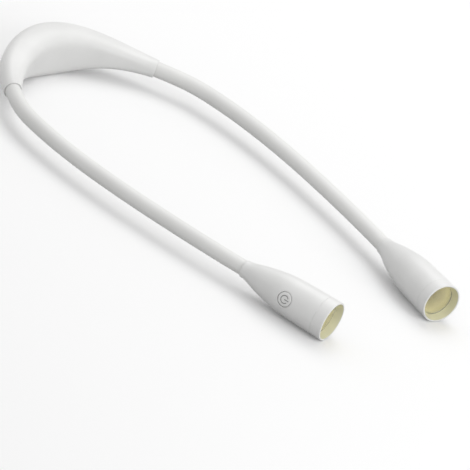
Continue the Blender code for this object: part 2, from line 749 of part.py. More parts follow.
def make_head(side, sign, empty):
    """Everything in one lamp head, in axes with Z along the head and X through its button."""
    spigot_r = bell_radius(HEAD_LENGTH - BEZEL_LENGTH) - BELL_WALL

    outer = [(radius, HEAD_START + along) for radius, along in BELL.points]
    outer = [(radius, height) for radius, height in outer if height < FACE - SEAT_GAP]
    outer.append((bell_radius(HEAD_LENGTH - BEZEL_LENGTH), FACE))
    outer = [(TUBE_D / 2, LINK_START), (TUBE_D / 2, HEAD_START), *outer]
    outer.reverse()
    cavity_start = HEAD_START + CAVITY_START_SHARE * HEAD_LENGTH
    cavity = [
        (radius - BELL_WALL, height)
        for radius, height in reversed(outer)
        if cavity_start < height < LEDGE_LOW - SEAT_GAP
    ]
    hole = WIRE_HOLE_D / 2
    socket = [
        (math.sqrt(BALL_GAP_R**2 - height**2), height)
        for height in (LINK_START, *(BALL_GAP_R * share for share in SEAT_RING_SHARES))
    ]
    inner = [
        *socket,
        (hole, math.sqrt(BALL_GAP_R**2 - hole**2)),
        (hole, cavity_start),
        *cavity,
        (spigot_r - LEDGE_WIDTH, LEDGE_LOW),
        (spigot_r - LEDGE_WIDTH, LEDGE_TOP),
        (spigot_r, LEDGE_TOP),
        (spigot_r, FACE),
    ]
    name = f"{side}_head_shell"
    shell = finished(turned(name, outer + inner, BELL_STEPS), name, WHITE)
    shell.parent = empty
    hole_r = BUTTON_D / 2 + SEAT_GAP
    button_hole = cylinder("button_hole", hole_r, BUTTON_FLANGE_AT, HEAD_R + CUT_OVER, BUTTON_STEPS)
    cutter(button_hole, f"{side}_button_hole")
    button_hole.parent = empty
    button_hole.matrix_local = button_frame()
    boolean(shell, button_hole, "DIFFERENCE")

    make_bezel(side, empty, spigot_r)
    make_lamp(side, empty, spigot_r)
    make_switch(side, empty)


def make_bezel(side, empty, spigot_r):
    back = FACE + SEAT_GAP
    rim_in = RIM_OUTER_R - RIM_WIDTH
    pocket = LENS_R + LENS_EDGE
    seat = back + LENS_SEAT_T
    lens_front = seat + SEAT_GAP + LENS_T
    spigot_out = spigot_r - SEAT_GAP
    spigot_in = spigot_out - SPIGOT_WALL
    spigot_end = LED_BOARD_FRONT + SEAT_GAP
    outline = [
        (rim_in, HEAD_END),
        (RIM_OUTER_R, HEAD_END),
        (HEAD_R, HEAD_END - RIM_ROUND),
        (bell_radius(HEAD_LENGTH - BEZEL_LENGTH), back),
        (spigot_out, back),
        (spigot_out, spigot_end),
        (spigot_in, spigot_end),
        (spigot_in, seat),
        (pocket, seat),
        (pocket, lens_front + LENS_EDGE),
    ]
    name = f"{side}_bezel_ring"
    finished(turned(name, outline, BELL_STEPS), name, WHITE).parent = empty
    name = f"{side}_lens"
    lens = finished(cylinder(name, LENS_R, lens_front - LENS_T, lens_front, BELL_STEPS), name, LENS_CLEAR)
    lens.parent = empty


def make_lamp(side, empty, spigot_r):
    name = f"{side}_led_board"
    board_r = spigot_r - SEAT_GAP
    board = cylinder(name, board_r, LED_BOARD_BACK, LED_BOARD_FRONT, BELL_STEPS)
    finished(board, name, COPPER_RED).parent = empty
    name = f"{side}_led_chip"
    low = LED_BOARD_FRONT + SEAT_GAP
    half = LED_SIDE / 2
    chip = box(name, (-half, -half, low), (half, half, low + LED_T))
    finished(chip, name, LED_YELLOW).parent = empty
    large = spigot_r - SEAT_GAP - SPIGOT_WALL - SEAT_GAP
    top = FACE + SEAT_GAP + LENS_SEAT_T
    outline = [
        (large - REFLECTOR_WALL, top),
        (large, top),
        (REFLECTOR_SMALL_R + REFLECTOR_WALL, low),
        (REFLECTOR_SMALL_R, low),
    ]
    name = f"{side}_reflector"
    finished(turned(name, outline, BELL_STEPS), name, CHROME).parent = empty
    name = f"{side}_head_lead"
    start, end = BALL_GAP_R + BALL_GAP_R, LED_BOARD_BACK - SEAT_GAP
    slack = WIRE_HOLE_D / 2
    cavity_start = HEAD_START + CAVITY_START_SHARE * HEAD_LENGTH
    knots = [(0, 0, start), (0, 0, cavity_start), (-slack, 0, (start + end) / 2), (-slack, 0, end)]
    lead = finished(tube(name, smooth_run(knots, 3), LEAD_D, 1), name, COPPER_RED)
    lead.parent = empty


def button_frame():
    """Axes on the button's centreline, with Z outwards from the head's axis."""
    return frame_of(Vector((0, 0, BUTTON_AT)), Vector((1, 0, 0)), Vector((0, 0, 1)))


def make_switch(side, empty):
    board_top = SWITCH_TOP - SEAT_GAP - SWITCH_T - SEAT_GAP
    low = LEDGE_LOW - SEAT_GAP - CONTROL_BOARD_L
    half = CONTROL_BOARD_W / 2
    name = f"{side}_control_board"
    board = box(name, (board_top - CONTROL_BOARD_T, -half, low), (board_top, half, low + CONTROL_BOARD_L))
    finished(board, name, BOARD_GREEN).parent = empty
    name = f"{side}_tact_switch"
    half = SWITCH_SIDE / 2
    base = board_top + SEAT_GAP
    body = box(
        name, (base, -half, BUTTON_AT - half), (base + SWITCH_T, half, BUTTON_AT + half)
    )
    finished(body, name, BLACK).parent = empty
    plunger = cutter(cylinder("plunger", PLUNGER_D / 2, base, SWITCH_TOP), f"{side}_plunger")
    plunger.parent = empty
    plunger.matrix_local = button_frame()
    boolean(body, plunger, "UNION")

    joint = bpy.data.objects.new(f"{side}_button_joint", None)
    PARTS.objects.link(joint)
    joint.parent = empty
    joint.matrix_local = button_frame()
    joint.empty_display_size = BUTTON_D
    top = bell_radius(BUTTON_ALONG) + BUTTON_PROUD
    cap, flange, stem = BUTTON_D / 2, BUTTON_FLANGE_D / 2, BUTTON_STEM_D / 2
    shoulder = BUTTON_FLANGE_AT + BUTTON_FLANGE_T
    outline = [
        (0, top),
        (cap - BUTTON_ROUND, top - BUTTON_ROUND / 4),
        (cap, top - BUTTON_ROUND),
        (cap, shoulder),
        (flange, shoulder),
        (flange, BUTTON_FLANGE_AT),
        (stem, BUTTON_FLANGE_AT),
        (stem, BUTTON_FLANGE_AT - BUTTON_STEM_T),
        (0, BUTTON_FLANGE_AT - BUTTON_STEM_T),
    ]
    name = f"{side}_power_button"
    finished(turned(name, outline, BUTTON_STEPS, closed=False), name, WHITE).parent = joint


def make_pad_lead(side, sign):
    """The lead from the main board's edge to the arm's plug, below the screw boss."""
    end_turn = HOUSING_TURN - ANCHOR_DEPTH / HOUSING_R
    start_turn = math.asin((BOARD_L / 2 + LEAD_D) / HOUSING_R)
    near_turn, far_turn = (HOUSING_TURN * share for share in PAD_LEAD_TURN_SHARES)
    knots = (
        (start_turn, -BOARD_OUT, -STANDOFF_UP),
        (near_turn, -BOARD_OUT, -STANDOFF_UP),
        (far_turn, -BOARD_T, 2 * LEAD_D - STANDOFF_UP),
        (end_turn - 3 * LEAD_D / HOUSING_R, 0, 0),
        (end_turn - SEAT_GAP / HOUSING_R, 0, 0),
    )
    points = smooth_run([arc_point(sign * turn, out, up) for turn, out, up in knots], 4)
    name = f"{side}_pad_lead"
    finished(tube(name, points, LEAD_D, 1), name, COPPER_RED)


def make_arm(side, sign):
    route = arm_route(sign)
    make_anchor(side, sign, route)
    last = route.length - HEAD_STEM
    step = (last - ANCHOR_STANDOFF) / LINKS
    owner, owner_frame = None, None
    for number in range(1, LINKS + 1):
        start = ANCHOR_STANDOFF + step * (number - 1)
        frame = frame_of(route.at(start), route.heading(start), Vector((0, 0, 1)))
        empty = joint_empty(f"{side}_arm_joint_{number}", frame, owner, owner_frame)
        make_link(side, number, route, start, start + step, empty, frame)
        owner, owner_frame = empty, frame
    forward = Vector((-sign * math.sin(HEAD_TOE_IN), -math.cos(HEAD_TOE_IN), 0))
    outward = Vector((sign * math.cos(HEAD_TOE_IN), -math.sin(HEAD_TOE_IN), 0))
    button_way = outward * math.cos(BUTTON_TILT) + Vector((0, 0, math.sin(BUTTON_TILT)))
    frame = frame_of(route.at(last), forward, button_way)
    head = joint_empty(f"{side}_head_joint", frame, owner, owner_frame)
    make_head(side, sign, head)


make_housing()
make_cover()
make_screws()
make_electronics()
for side_name, side_sign in SIDES.items():
    make_arm(side_name, side_sign)
    make_pad_lead(side_name, side_sign)
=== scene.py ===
"""Neck reading light: the fine skins, tubes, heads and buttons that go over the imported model."""
from functools import cache
from math import atan2, cos, hypot, pi, radians, sin, sqrt

import bmesh
import bpy
from mathutils import Matrix, Vector
from mathutils.bvhtree import BVHTree


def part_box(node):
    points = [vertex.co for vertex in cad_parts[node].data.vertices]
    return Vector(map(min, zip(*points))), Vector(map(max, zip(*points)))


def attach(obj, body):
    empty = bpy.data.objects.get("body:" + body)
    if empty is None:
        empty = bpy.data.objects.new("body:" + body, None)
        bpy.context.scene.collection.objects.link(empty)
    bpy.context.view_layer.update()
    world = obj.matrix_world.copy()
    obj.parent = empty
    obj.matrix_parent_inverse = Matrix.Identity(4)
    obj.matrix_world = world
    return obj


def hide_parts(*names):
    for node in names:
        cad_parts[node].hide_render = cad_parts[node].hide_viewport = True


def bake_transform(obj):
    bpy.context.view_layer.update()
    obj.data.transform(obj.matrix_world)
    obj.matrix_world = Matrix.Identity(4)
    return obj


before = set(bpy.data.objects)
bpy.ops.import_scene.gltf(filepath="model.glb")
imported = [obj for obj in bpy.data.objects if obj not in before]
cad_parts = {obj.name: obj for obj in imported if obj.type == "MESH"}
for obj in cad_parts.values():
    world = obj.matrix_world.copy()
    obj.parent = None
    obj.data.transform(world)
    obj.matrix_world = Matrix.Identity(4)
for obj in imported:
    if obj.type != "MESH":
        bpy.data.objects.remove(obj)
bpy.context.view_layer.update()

# Sizes shared with the CAD model, in metres
SEAT_GAP = 0.0003
HOUSING_HALF_SPAN = 0.0617
HOUSING_SAG = 0.034
HOUSING_IN, HOUSING_OUT, HOUSING_UP, HOUSING_PRESSED = 0.0114, 0.0093, 0.0144, 0.0008
HOUSING_WALL = 0.0016
COLLAR_R, COLLAR_WALL = 0.0053, 0.0011
SWELL_IN, SWELL_OUT, SWELL_UP, SWELL_DOWN = 0.75, 1.7, 1.7, 2.9
SQUARE_TOP_OUT, SQUARE_TOP_IN, SQUARE_LOW_IN, SQUARE_LOW_OUT = 3.5, 5.5, 5.6, 2.0
TOP_FALL_SHARE = 0.25
COVER_TURN_SHARE, COVER_UP_SHARE, COVER_DOWN_SHARE = 0.7, 0.62, 0.66
COVER_LAST_SHARE, COVER_CORNER = 0.999, 5
COLLAR_Y = 0.103628
ARM_Z = 0.012
TUBE_R = 0.0045
ARM_WIDEST = 0.0782
ARM_REACH = 0.1872
ARM_X_SHARES = (0.933, 0.991, 1.0, 0.978, 0.935, 0.88, 0.816, 0.779)
ARM_Y_SHARES = (0.11, 0.246, 0.386, 0.525, 0.663, 0.8, 0.933, 1.0)
HEAD_TOE_IN = radians(12.5)
ANCHOR_STANDOFF = 0.01
LINK_START = 0.002
LINKS = 4
HEAD_STEM = 0.008
HEAD_LENGTH, HEAD_R, HEAD_NECK_R = 0.0603, 0.012, 0.0051
BELL_SHARES = ((0.0, 0.425), (0.07, 0.47), (0.23, 0.7), (0.46, 0.92), (0.72, 0.98), (0.89, 0.992))
BEZEL_LENGTH = 0.007
RIM_WIDTH, RIM_ROUND = 0.0007, 0.0003
LENS_R, LENS_T = 0.0096, 0.0015
BUTTON_ALONG = 0.0334
BUTTON_TILT = radians(10)

HOUSING_R = (HOUSING_HALF_SPAN**2 + HOUSING_SAG**2) / (2 * HOUSING_SAG)
HOUSING_TURN = atan2(HOUSING_HALF_SPAN, HOUSING_R - HOUSING_SAG)
ARC_Y = COLLAR_Y + HOUSING_SAG - HOUSING_R
HEAD_START = LINK_START + HEAD_STEM
HEAD_END = HEAD_START + HEAD_LENGTH
FACE = HEAD_END - BEZEL_LENGTH
BUTTON_AT = HEAD_START + BUTTON_ALONG
RIM_IN_R = HEAD_R - RIM_ROUND - RIM_WIDTH
SIDES = {"left": -1, "right": 1}
UP, DOWN, RIGHT = Vector((0, 0, 1)), Vector((0, 0, -1)), Vector((1, 0, 0))


# Materials: noise scales are in waves per metre, and skins are bump depths in metres

DRIFT_SCALE, DRIFT_DETAIL, DRIFT_STOPS = 40, 3.0, (0.35, 0.65)
HANDLING_SCALE, HANDLING_DETAIL = 160, 4.0
GRAIN_DETAIL, GRAIN_ROUGHNESS, MOULDED_BUMP = 3.0, 0.6, 0.25
METAL_SCALE, METAL_DETAIL, METAL_BUMP = 3000, 4.0, 0.15
NOISE_SPAN, WIDE_NOISE_SPAN = (0.3, 0.7), (0.2, 0.8)
FAINT_SKIN, FINE_SKIN, SOFT_SKIN, FOAM_SKIN = 0.00001, 0.00002, 0.00003, 0.0002
SMOOTHER, ROUGHER = 0.04, 0.05
METAL_SMOOTHER_SHARE, METAL_ROUGHER_SHARE = 0.7, 1.3
PLASTIC_IOR, LENS_IOR = 1.49, 1.3
MIX_FACTOR, MIX_FIRST, MIX_SECOND, MIX_RESULT = 0, 6, 7, 2  # the colour sockets of a Mix node


def node_material(name):
    made = bpy.data.materials.new(name)
    made.use_nodes = True
    tree = made.node_tree
    return made, tree, tree.nodes["Principled BSDF"]


def fill(node, values):
    """Sets a node's inputs, or links them where another node's output is given."""
    for key, value in values.items():
        if isinstance(value, bpy.types.NodeSocket):
            node.id_data.links.new(value, node.inputs[key])
        else:
            node.inputs[key].default_value = value


def add(tree, kind, values, **settings):
    node = tree.nodes.new(kind)
    for key, value in settings.items():
        setattr(node, key, value)
    fill(node, values)
    return node


def noise(tree, scale, detail, rough=0.5):
    place = add(tree, "ShaderNodeTexCoord", {}).outputs["Object"]
    values = {"Vector": place, "Scale": scale, "Detail": detail, "Roughness": rough}
    return add(tree, "ShaderNodeTexNoise", values).outputs["Fac"]


def ramp(tree, source, span, values):
    """Turns a number that runs over a span into one that runs between two values."""
    ends = {"From Min": span[0], "From Max": span[1], "To Min": values[0], "To Max": values[1]}
    return add(tree, "ShaderNodeMapRange", {"Value": source, **ends}).outputs["Result"]


def tinted(tree, source, colours, stops):
    """A colour that runs through the given ones as a number passes the stops."""
    node = add(tree, "ShaderNodeValToRGB", {"Fac": source})
    elements = node.color_ramp.elements
    while len(elements) < len(colours):
        elements.new(0.5)
    for i, (colour, stop) in enumerate(zip(colours, stops)):
        elements[i].position = stop
        elements[i].color = (*colour, 1)
    return node.outputs["Color"]


def bumped(tree, source, strength, distance):
    values = {"Height": source, "Strength": strength, "Distance": distance}
    return add(tree, "ShaderNodeBump", values).outputs["Normal"]


def moulded(name, tones, rough, grain_scale, skin=FINE_SKIN, coat=0.0, sheen=0.0):
    """Moulded plastic or rubber: faint colour drift, uneven roughness and a fine skin."""
    made, tree, shader = node_material(name)
    drift = noise(tree, DRIFT_SCALE, DRIFT_DETAIL)
    handled = noise(tree, HANDLING_SCALE, HANDLING_DETAIL)
    grain = noise(tree, grain_scale, GRAIN_DETAIL, GRAIN_ROUGHNESS)
    fill(shader, {
        "Base Color": tinted(tree, drift, tones, DRIFT_STOPS),
        "Roughness": ramp(tree, handled, NOISE_SPAN, (rough - SMOOTHER, rough + ROUGHER)),
        "Normal": bumped(tree, grain, MOULDED_BUMP, skin),
        "Coat Weight": coat, "Sheen Weight": sheen, "IOR": PLASTIC_IOR,
    })
    return made


def metal(name, tones, rough, grain_scale=METAL_SCALE):
    """Bare metal, whose fine grain drives its tone, its roughness and its skin."""
    made, tree, shader = node_material(name)
    grain = noise(tree, grain_scale, METAL_DETAIL)
    span = (rough * METAL_SMOOTHER_SHARE, rough * METAL_ROUGHER_SHARE)
    fill(shader, {
        "Base Color": tinted(tree, grain, tones, NOISE_SPAN),
        "Roughness": ramp(tree, grain, WIDE_NOISE_SPAN, span),
        "Normal": bumped(tree, grain, METAL_BUMP, FINE_SKIN),
        "Metallic": 1.0,
    })
    return made


def lens_material():
    """Clear plastic with a faint bloom, through which the cup and the lamp show."""
    made, tree, shader = node_material("lens_clear")
    bloom = noise(tree, BLOOM_SCALE, BLOOM_DETAIL)
    fill(shader, {
        "Base Color": tinted(tree, bloom, LENS_TONES, NOISE_SPAN),
        "Roughness": ramp(tree, bloom, NOISE_SPAN, LENS_ROUGHNESS),
        "Transmission Weight": LENS_CLEARNESS, "IOR": LENS_IOR,
    })
    return made


def tinted_with_painted_light(made, name, colours, stops):
    """Paints light or shade into a material's colour, by a number from 0 to 1 that is kept at each point of
    its mesh.
    """
    tree = made.node_tree
    shader = tree.nodes["Principled BSDF"]
    share = add(tree, "ShaderNodeAttribute", {}, attribute_name=name).outputs["Fac"]
    both = add(tree, "ShaderNodeMix", {}, data_type="RGBA", blend_type="MULTIPLY")
    fill(both, {
        MIX_FACTOR: 1.0, MIX_FIRST: shader.inputs["Base Color"].links[0].from_socket,
        MIX_SECOND: tinted(tree, share, colours, stops),
    })
    fill(shader, {"Base Color": both.outputs[MIX_RESULT]})
    return made


WHITE_TONES, WHITE_ROUGH, WHITE_GRAIN = ((0.8, 0.8, 0.79), (0.84, 0.84, 0.83)), 0.36, 9000
LAMP_GLOW = {"Emission Color": (1.0, 0.88, 0.5, 1), "Emission Strength": 4.0}
BLOOM_SCALE, BLOOM_DETAIL, LENS_CLEARNESS = 300, 3.0, 0.94
LENS_TONES, LENS_ROUGHNESS = ((0.95, 0.94, 0.86), (0.98, 0.97, 0.91)), (0.05, 0.09)
THROAT_SHARE = "throat_share"  # 1 inside the bezel's mouth, where warm lamp light is painted into its colour, and 0 outside it
DEPTH_SHARE = "depth_share"  # of the reflector's depth, 0 at the lamp and 1 at the lens, for the painted shade that darkens the cup towards the lamp
# Painted lamp light: the bezel's throat is tinted cream, standing in for the warm light of the lamp on white
# plastic
THROAT_PAINTED_LAMP_LIGHT, THROAT_STOPS = ((1, 1, 1), (0.97, 0.945, 0.68)), (0, 1)
# Painted shade: the reflector's colour goes from near black at the lamp to full cream at the lens, as shade
# deep in the cup
DEPTH_PAINTED_SHADE, DEPTH_PAINTED_SHADE_STOPS = ((0.14, 0.14, 0.12), (0.42, 0.41, 0.36), (1.0, 0.99, 0.95)), (0.08, 0.36, 0.82)

WHITE = moulded("white_moulding", WHITE_TONES, WHITE_ROUGH, WHITE_GRAIN)
BUTTON_WHITE = moulded("button_moulding", ((0.79, 0.79, 0.78), (0.83, 0.83, 0.82)), 0.42, 12000)
SILICONE = moulded(
    "white_silicone", ((0.8, 0.8, 0.785), (0.835, 0.835, 0.82)), 0.52, 4000, skin=SOFT_SKIN, sheen=0.15
)
STEEL = metal("steel", ((0.48, 0.48, 0.49), (0.66, 0.66, 0.67)), 0.32)
PLATING = metal("socket_plating", ((0.6, 0.6, 0.6), (0.74, 0.74, 0.73)), 0.25)
CONTACT = metal("gold_contacts", ((0.75, 0.52, 0.2), (0.86, 0.64, 0.3)), 0.22)
FOIL = metal("cell_foil", ((0.5, 0.5, 0.52), (0.66, 0.66, 0.68)), 0.38, grain_scale=900)
FOAM = moulded("cell_foam", ((0.05, 0.05, 0.055), (0.1, 0.1, 0.11)), 0.9, 1500, skin=FOAM_SKIN)
BOARD = moulded("solder_mask", ((0.012, 0.09, 0.04), (0.022, 0.14, 0.065)), 0.35, 2500, coat=0.3)
BLACK = moulded("black_moulding", ((0.018, 0.018, 0.019), (0.032, 0.032, 0.034)), 0.45, 6000)
RED_WIRE = moulded("wire_insulation", ((0.3, 0.035, 0.022), (0.42, 0.055, 0.035)), 0.42, 3000)
LED_BASE = moulded("led_board_mask", ((0.74, 0.74, 0.7), (0.82, 0.82, 0.78)), 0.4, 2500)
LED_LIT = moulded("led_phosphor", ((0.92, 0.72, 0.22), (0.96, 0.8, 0.32)), 0.5, 4000)
fill(LED_LIT.node_tree.nodes["Principled BSDF"], LAMP_GLOW)
CHARGE_LIT = moulded("charge_led_lens", ((0.75, 0.16, 0.1), (0.85, 0.24, 0.16)), 0.3, 2000, skin=FAINT_SKIN)
PIPE = moulded(
    "light_pipe_clear", ((0.86, 0.86, 0.84), (0.92, 0.92, 0.9)), 0.2, 1000, skin=FAINT_SKIN, coat=0.4
)
# The symbol's dark grey fill is partly ink and partly painted shade in its sunk strokes
MARK = moulded("symbol_ink_and_painted_shade", ((0.27, 0.27, 0.265), (0.33, 0.33, 0.325)), 0.5, 8000, skin=FAINT_SKIN)
# The bezel is white moulding with painted lamp light: a cream tint inside its mouth
BEZEL = tinted_with_painted_light(
    moulded("bezel_moulding_with_painted_lamp_light", WHITE_TONES, WHITE_ROUGH, WHITE_GRAIN), THROAT_SHARE, THROAT_PAINTED_LAMP_LIGHT, THROAT_STOPS
)
# The reflector: cream moulding with painted shade darkening it towards the lamp
REFLECTOR = tinted_with_painted_light(
    moulded("reflector_cream_with_painted_shade", ((0.86, 0.84, 0.6), (0.9, 0.88, 0.65)), 0.28, 2500, coat=0.3),
    DEPTH_SHARE, DEPTH_PAINTED_SHADE, DEPTH_PAINTED_SHADE_STOPS,
)
LENS = lens_material()

NODE_FINISHES = {
    "cover_screw": STEEL, "battery_cell": FOIL, "battery_foam": FOAM, "main_board": BOARD,
    "charge_chip": BLACK, "micro_usb_socket": PLATING, "light_pipe": PIPE, "charge_led": CHARGE_LIT,
    "pad_lead": RED_WIRE, "arm_core": STEEL, "arm_sleeve": SILICONE, "lens": PIPE, "reflector": REFLECTOR,
    "led_board": LED_BASE, "led_chip": LED_LIT, "head_lead": RED_WIRE, "control_board": BOARD,
    "tact_switch": BLACK, "power_button": BUTTON_WHITE,
}  # the other nodes are white
for node_name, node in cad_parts.items():
    finish = next((made for key, made in NODE_FINISHES.items() if key in node_name), WHITE)
    node.data.materials.clear()
    node.data.materials.append(finish)


# Curves and axes

ROUTE_STEPS = 24
HEADING_REACH = 0.001


def smooth_run(points, steps, first=None, last=None):
    """Points along a curve through the given ones, which may leave and arrive along set directions."""
    points = [Vector(point) for point in points]
    slopes = [(after - before) / 2 for before, after in zip(points, points[2:])]
    start, end = points[1] - points[0], points[-1] - points[-2]
    slopes.insert(0, first * start.length if first else start)
    slopes.append(last * end.length if last else end)
    run = []
    for i in range(len(points) - 1):
        for step in range(steps):
            t = step / steps
            run.append(
                points[i] * (2 * t**3 - 3 * t**2 + 1)
                + slopes[i] * (t**3 - 2 * t**2 + t)
                + points[i + 1] * (3 * t**2 - 2 * t**3)
                + slopes[i + 1] * (t**3 - t**2)
            )
    run.append(points[-1])
    return run


class Route:
    """A run of points measured by distance along it, straight beyond both ends."""

    def __init__(self, points):
        self.points = points
        self.marks = [0.0]
        for before, after in zip(points, points[1:]):
            self.marks.append(self.marks[-1] + (after - before).length)
        self.length = self.marks[-1]

    def at(self, distance):
        points, marks = self.points, self.marks
        if distance <= 0:
            return points[0] + (points[1] - points[0]).normalized() * distance
        if distance >= self.length:
            return points[-1] + (points[-1] - points[-2]).normalized() * (distance - self.length)
        for i, mark in enumerate(marks[1:]):
            if distance <= mark:
                return points[i].lerp(points[i + 1], (distance - marks[i]) / (mark - marks[i]))

    def heading(self, distance):
        """The direction over a short stretch round a distance, which stays smooth between points."""
        return (self.at(distance + HEADING_REACH) - self.at(distance - HEADING_REACH)).normalized()


def frame_of(place, forward, sideways):
    """Axes at a place, with Z forward and X sideways."""
    forward = forward.normalized()
    across = (sideways - forward * sideways.dot(forward)).normalized()
    turn = Matrix((across, forward.cross(across), forward)).transposed()
    return Matrix.Translation(place) @ turn.to_4x4()


def arc_point(turn, out=0.0, up=0.0):
    reach = HOUSING_R + out
    return Vector((reach * sin(turn), ARC_Y + reach * cos(turn), ARM_Z + up))


def head_way(sign):
    """The direction in which a head shines."""
    return Vector((-sign * sin(HEAD_TOE_IN), -cos(HEAD_TOE_IN), 0))


def arm_route(sign):
    points = [arc_point(sign * HOUSING_TURN)]
    for across, along in zip(ARM_X_SHARES, ARM_Y_SHARES):
        points.append(Vector((sign * across * ARM_WIDEST, COLLAR_Y - along * ARM_REACH, ARM_Z)))
    leaving = Vector((sign * cos(HOUSING_TURN), -sin(HOUSING_TURN), 0))
    return Route(smooth_run(points, ROUTE_STEPS, leaving, head_way(sign)))


# Outlines, as functions of an offset outwards that give points (u, v)

ROUND_STEPS = 96


def angles_round(steps):
    return [2 * pi * i / steps for i in range(steps)]


def around(radius, angle):
    return radius * cos(angle), radius * sin(angle)


def circle(radius, steps=ROUND_STEPS):
    return lambda offset: [around(radius + offset, angle) for angle in angles_round(steps)]


def rounded_box(width, height, corner, steps=8, lower_corner=None):
    def outline(offset):
        points = []
        for quarter, (x, y) in enumerate(((1, 1), (-1, 1), (-1, -1), (1, -1))):
            own = corner if y > 0 or lower_corner is None else lower_corner
            for i in range(steps + 1):
                across, rise = around(own + offset, pi / 2 * (quarter + i / steps))
                points.append((x * (width / 2 - own) + across, y * (height / 2 - own) + rise))
        return points
    return outline


def cross(reach, half):
    def outline(offset):
        r, h = reach + offset, half + offset
        half_round = [(r, -h), (r, h), (h, h), (h, r), (-h, r), (-h, h)]
        return half_round + [(-u, -v) for u, v in half_round]
    return outline


def stroke(path, half_width, steps=8):
    """The outline of a pen stroke with round ends along a path of (u, v)."""
    path = [Vector(point) for point in path]
    run = []
    for point, before, after in zip(path, [path[0], *path], [*path[1:], path[-1]]):
        run.append((point, atan2(after.y - before.y, after.x - before.x)))

    def outline(offset):
        reach = half_width + offset
        points = []
        for way, half in ((1, run), (-1, run[::-1])):
            for point, heading in half:
                points.append((
                    point.x + way * reach * sin(heading), point.y - way * reach * cos(heading)
                ))
            end, heading = half[-1]
            for i in range(1, steps):
                across, rise = around(reach, heading - way * pi / 2 + pi * i / steps)
                points.append((end.x + across, end.y + rise))
        return points
    return outline


def shifted(outline, u, v):
    return lambda offset: [(x + u, y + v) for x, y in outline(offset)]


# Vertices and faces

WELD = 0.000002


def flat(rows):
    return [point for row in rows for point in row]


def quads(rows, ringed=False, looped=False):
    """Faces joining rows of equal count, each of them a ring or not, and the last to the first or not."""
    count = len(rows[0])
    faces = []
    for row in range(len(rows) if looped else len(rows) - 1):
        here, there = row * count, (row + 1) % len(rows) * count
        for column in range(count if ringed else count - 1):
            beside = (column + 1) % count
            faces.append((here + column, here + beside, there + beside, there + column))
    return faces


def capped(rows):
    """Faces of a closed shape: rings one after another, with a face over each end."""
    count = len(rows[0])
    last = (len(rows) - 1) * count
    ends = [tuple(range(count - 1, -1, -1)), tuple(range(last, last + count))]
    return quads(rows, ringed=True) + ends


def grid(rows, closed=False):
    return flat(rows), quads(rows, ringed=closed)


def joined(shapes):
    verts, faces = [], []
    for own_verts, own_faces in shapes:
        faces.extend(tuple(len(verts) + i for i in face) for face in own_faces)
        verts.extend(own_verts)
    return verts, faces


def spun(outline, steps, closed=False):
    """An outline of (radius, height) spun round Z."""
    rows = [[Vector((*around(r, angle), h)) for r, h in outline] for angle in angles_round(steps)]
    return flat(rows), quads(rows, ringed=closed, looped=True)


def pressed(outline, layers):
    """A closed shape whose flat rings are the outline at (offset, height) pairs."""
    rows = [[Vector((u, v, height)) for u, v in outline(offset)] for offset, height in layers]
    return flat(rows), capped(rows)


# Objects

def in_scene(name, data):
    obj = bpy.data.objects.new(name, data)
    bpy.context.scene.collection.objects.link(obj)
    return obj


def new_object(name, shape):
    verts, faces = shape
    mesh = bpy.data.meshes.new(name)
    mesh.from_pydata([tuple(vert) for vert in verts], [], faces)
    return in_scene(name, mesh)


def turn_faces_out(mesh, weld=None):
    built = bmesh.new()
    built.from_mesh(mesh)
    if weld:
        bmesh.ops.remove_doubles(built, verts=built.verts, dist=weld)
    bmesh.ops.recalc_face_normals(built, faces=built.faces)
    built.to_mesh(mesh)
    built.free()


def smooth_faces(mesh):
    mesh.polygons.foreach_set("use_smooth", [True] * len(mesh.polygons))


def dressed(obj, body=None, sharp=40):
    """Welds and smooths a piece, up to a sharp angle in degrees, and gives it its body where one is named."""
    turn_faces_out(obj.data, weld=WELD)
    smooth_faces(obj.data)
    obj.data.set_sharp_from_angle(angle=radians(sharp))
    if body:
        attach(obj, body)
    return obj


def made_piece(name, shape, finish, body=None, sharp=40):
    obj = new_object(name, shape)
    obj.data.validate()
    obj.data.materials.append(finish)
    return dressed(obj, body, sharp)


def closed_shape(name, shape):
    """A shape without a finish, such as a cutter."""
    obj = new_object(name, shape)
    turn_faces_out(obj.data)
    return obj


def placed(obj, axes):
    """Puts a shape's place into its mesh, so that the object stays at the origin."""
    obj.data.transform(axes)
    obj.data.update()
    return obj


def kept_share(obj, name, share):
    """Keeps a number at each point of a piece's mesh, for its material to read."""
    kept = obj.data.attributes.new(name, "FLOAT", "POINT")
    kept.data.foreach_set("value", [share(vert.co) for vert in obj.data.vertices])


def cut(target, cutter):
    """Takes a closed shape out of a piece, which is left smooth, and uses the shape up."""
    modifier = target.modifiers.new("cut", "BOOLEAN")
    modifier.object, modifier.operation, modifier.solver = cutter, "DIFFERENCE", "EXACT"
    graph = bpy.context.evaluated_depsgraph_get()
    mesh = bpy.data.meshes.new_from_object(target.evaluated_get(graph))
    target.modifiers.clear()
    old = target.data
    target.data = mesh
    bpy.data.meshes.remove(old)
    bpy.data.objects.remove(cutter)
    smooth_faces(mesh)


# Openings and reliefs that follow a surface

RAY_START = 0.03
CUT_TOP = 0.02
ON_SURFACE, LEAST_DISTANCE = 0.00002, 1e-7
SMOOTH_LIMIT = radians(25)
LIP_LAYERS = (
    (0, -0.00045), (0, -0.00022), (0.00003, -0.00012), (0.00009, -0.00004), (0.00018, -0.000005),
    (0.00034, 0.00005),
)  # (offset of the outline, height over the surface)


def over_surface(tree, axes, u, v, above):
    """A height in the axes' own numbers, over the surface that faces their Z."""
    place, _, _, _ = tree.ray_cast(axes @ Vector((u, v, RAY_START)), axes.to_3x3() @ DOWN)
    return (axes.inverted() @ place).z + above


def surface_ring(tree, axes, points, above):
    return [Vector((u, v, over_surface(tree, axes, u, v, above))) for u, v in points]


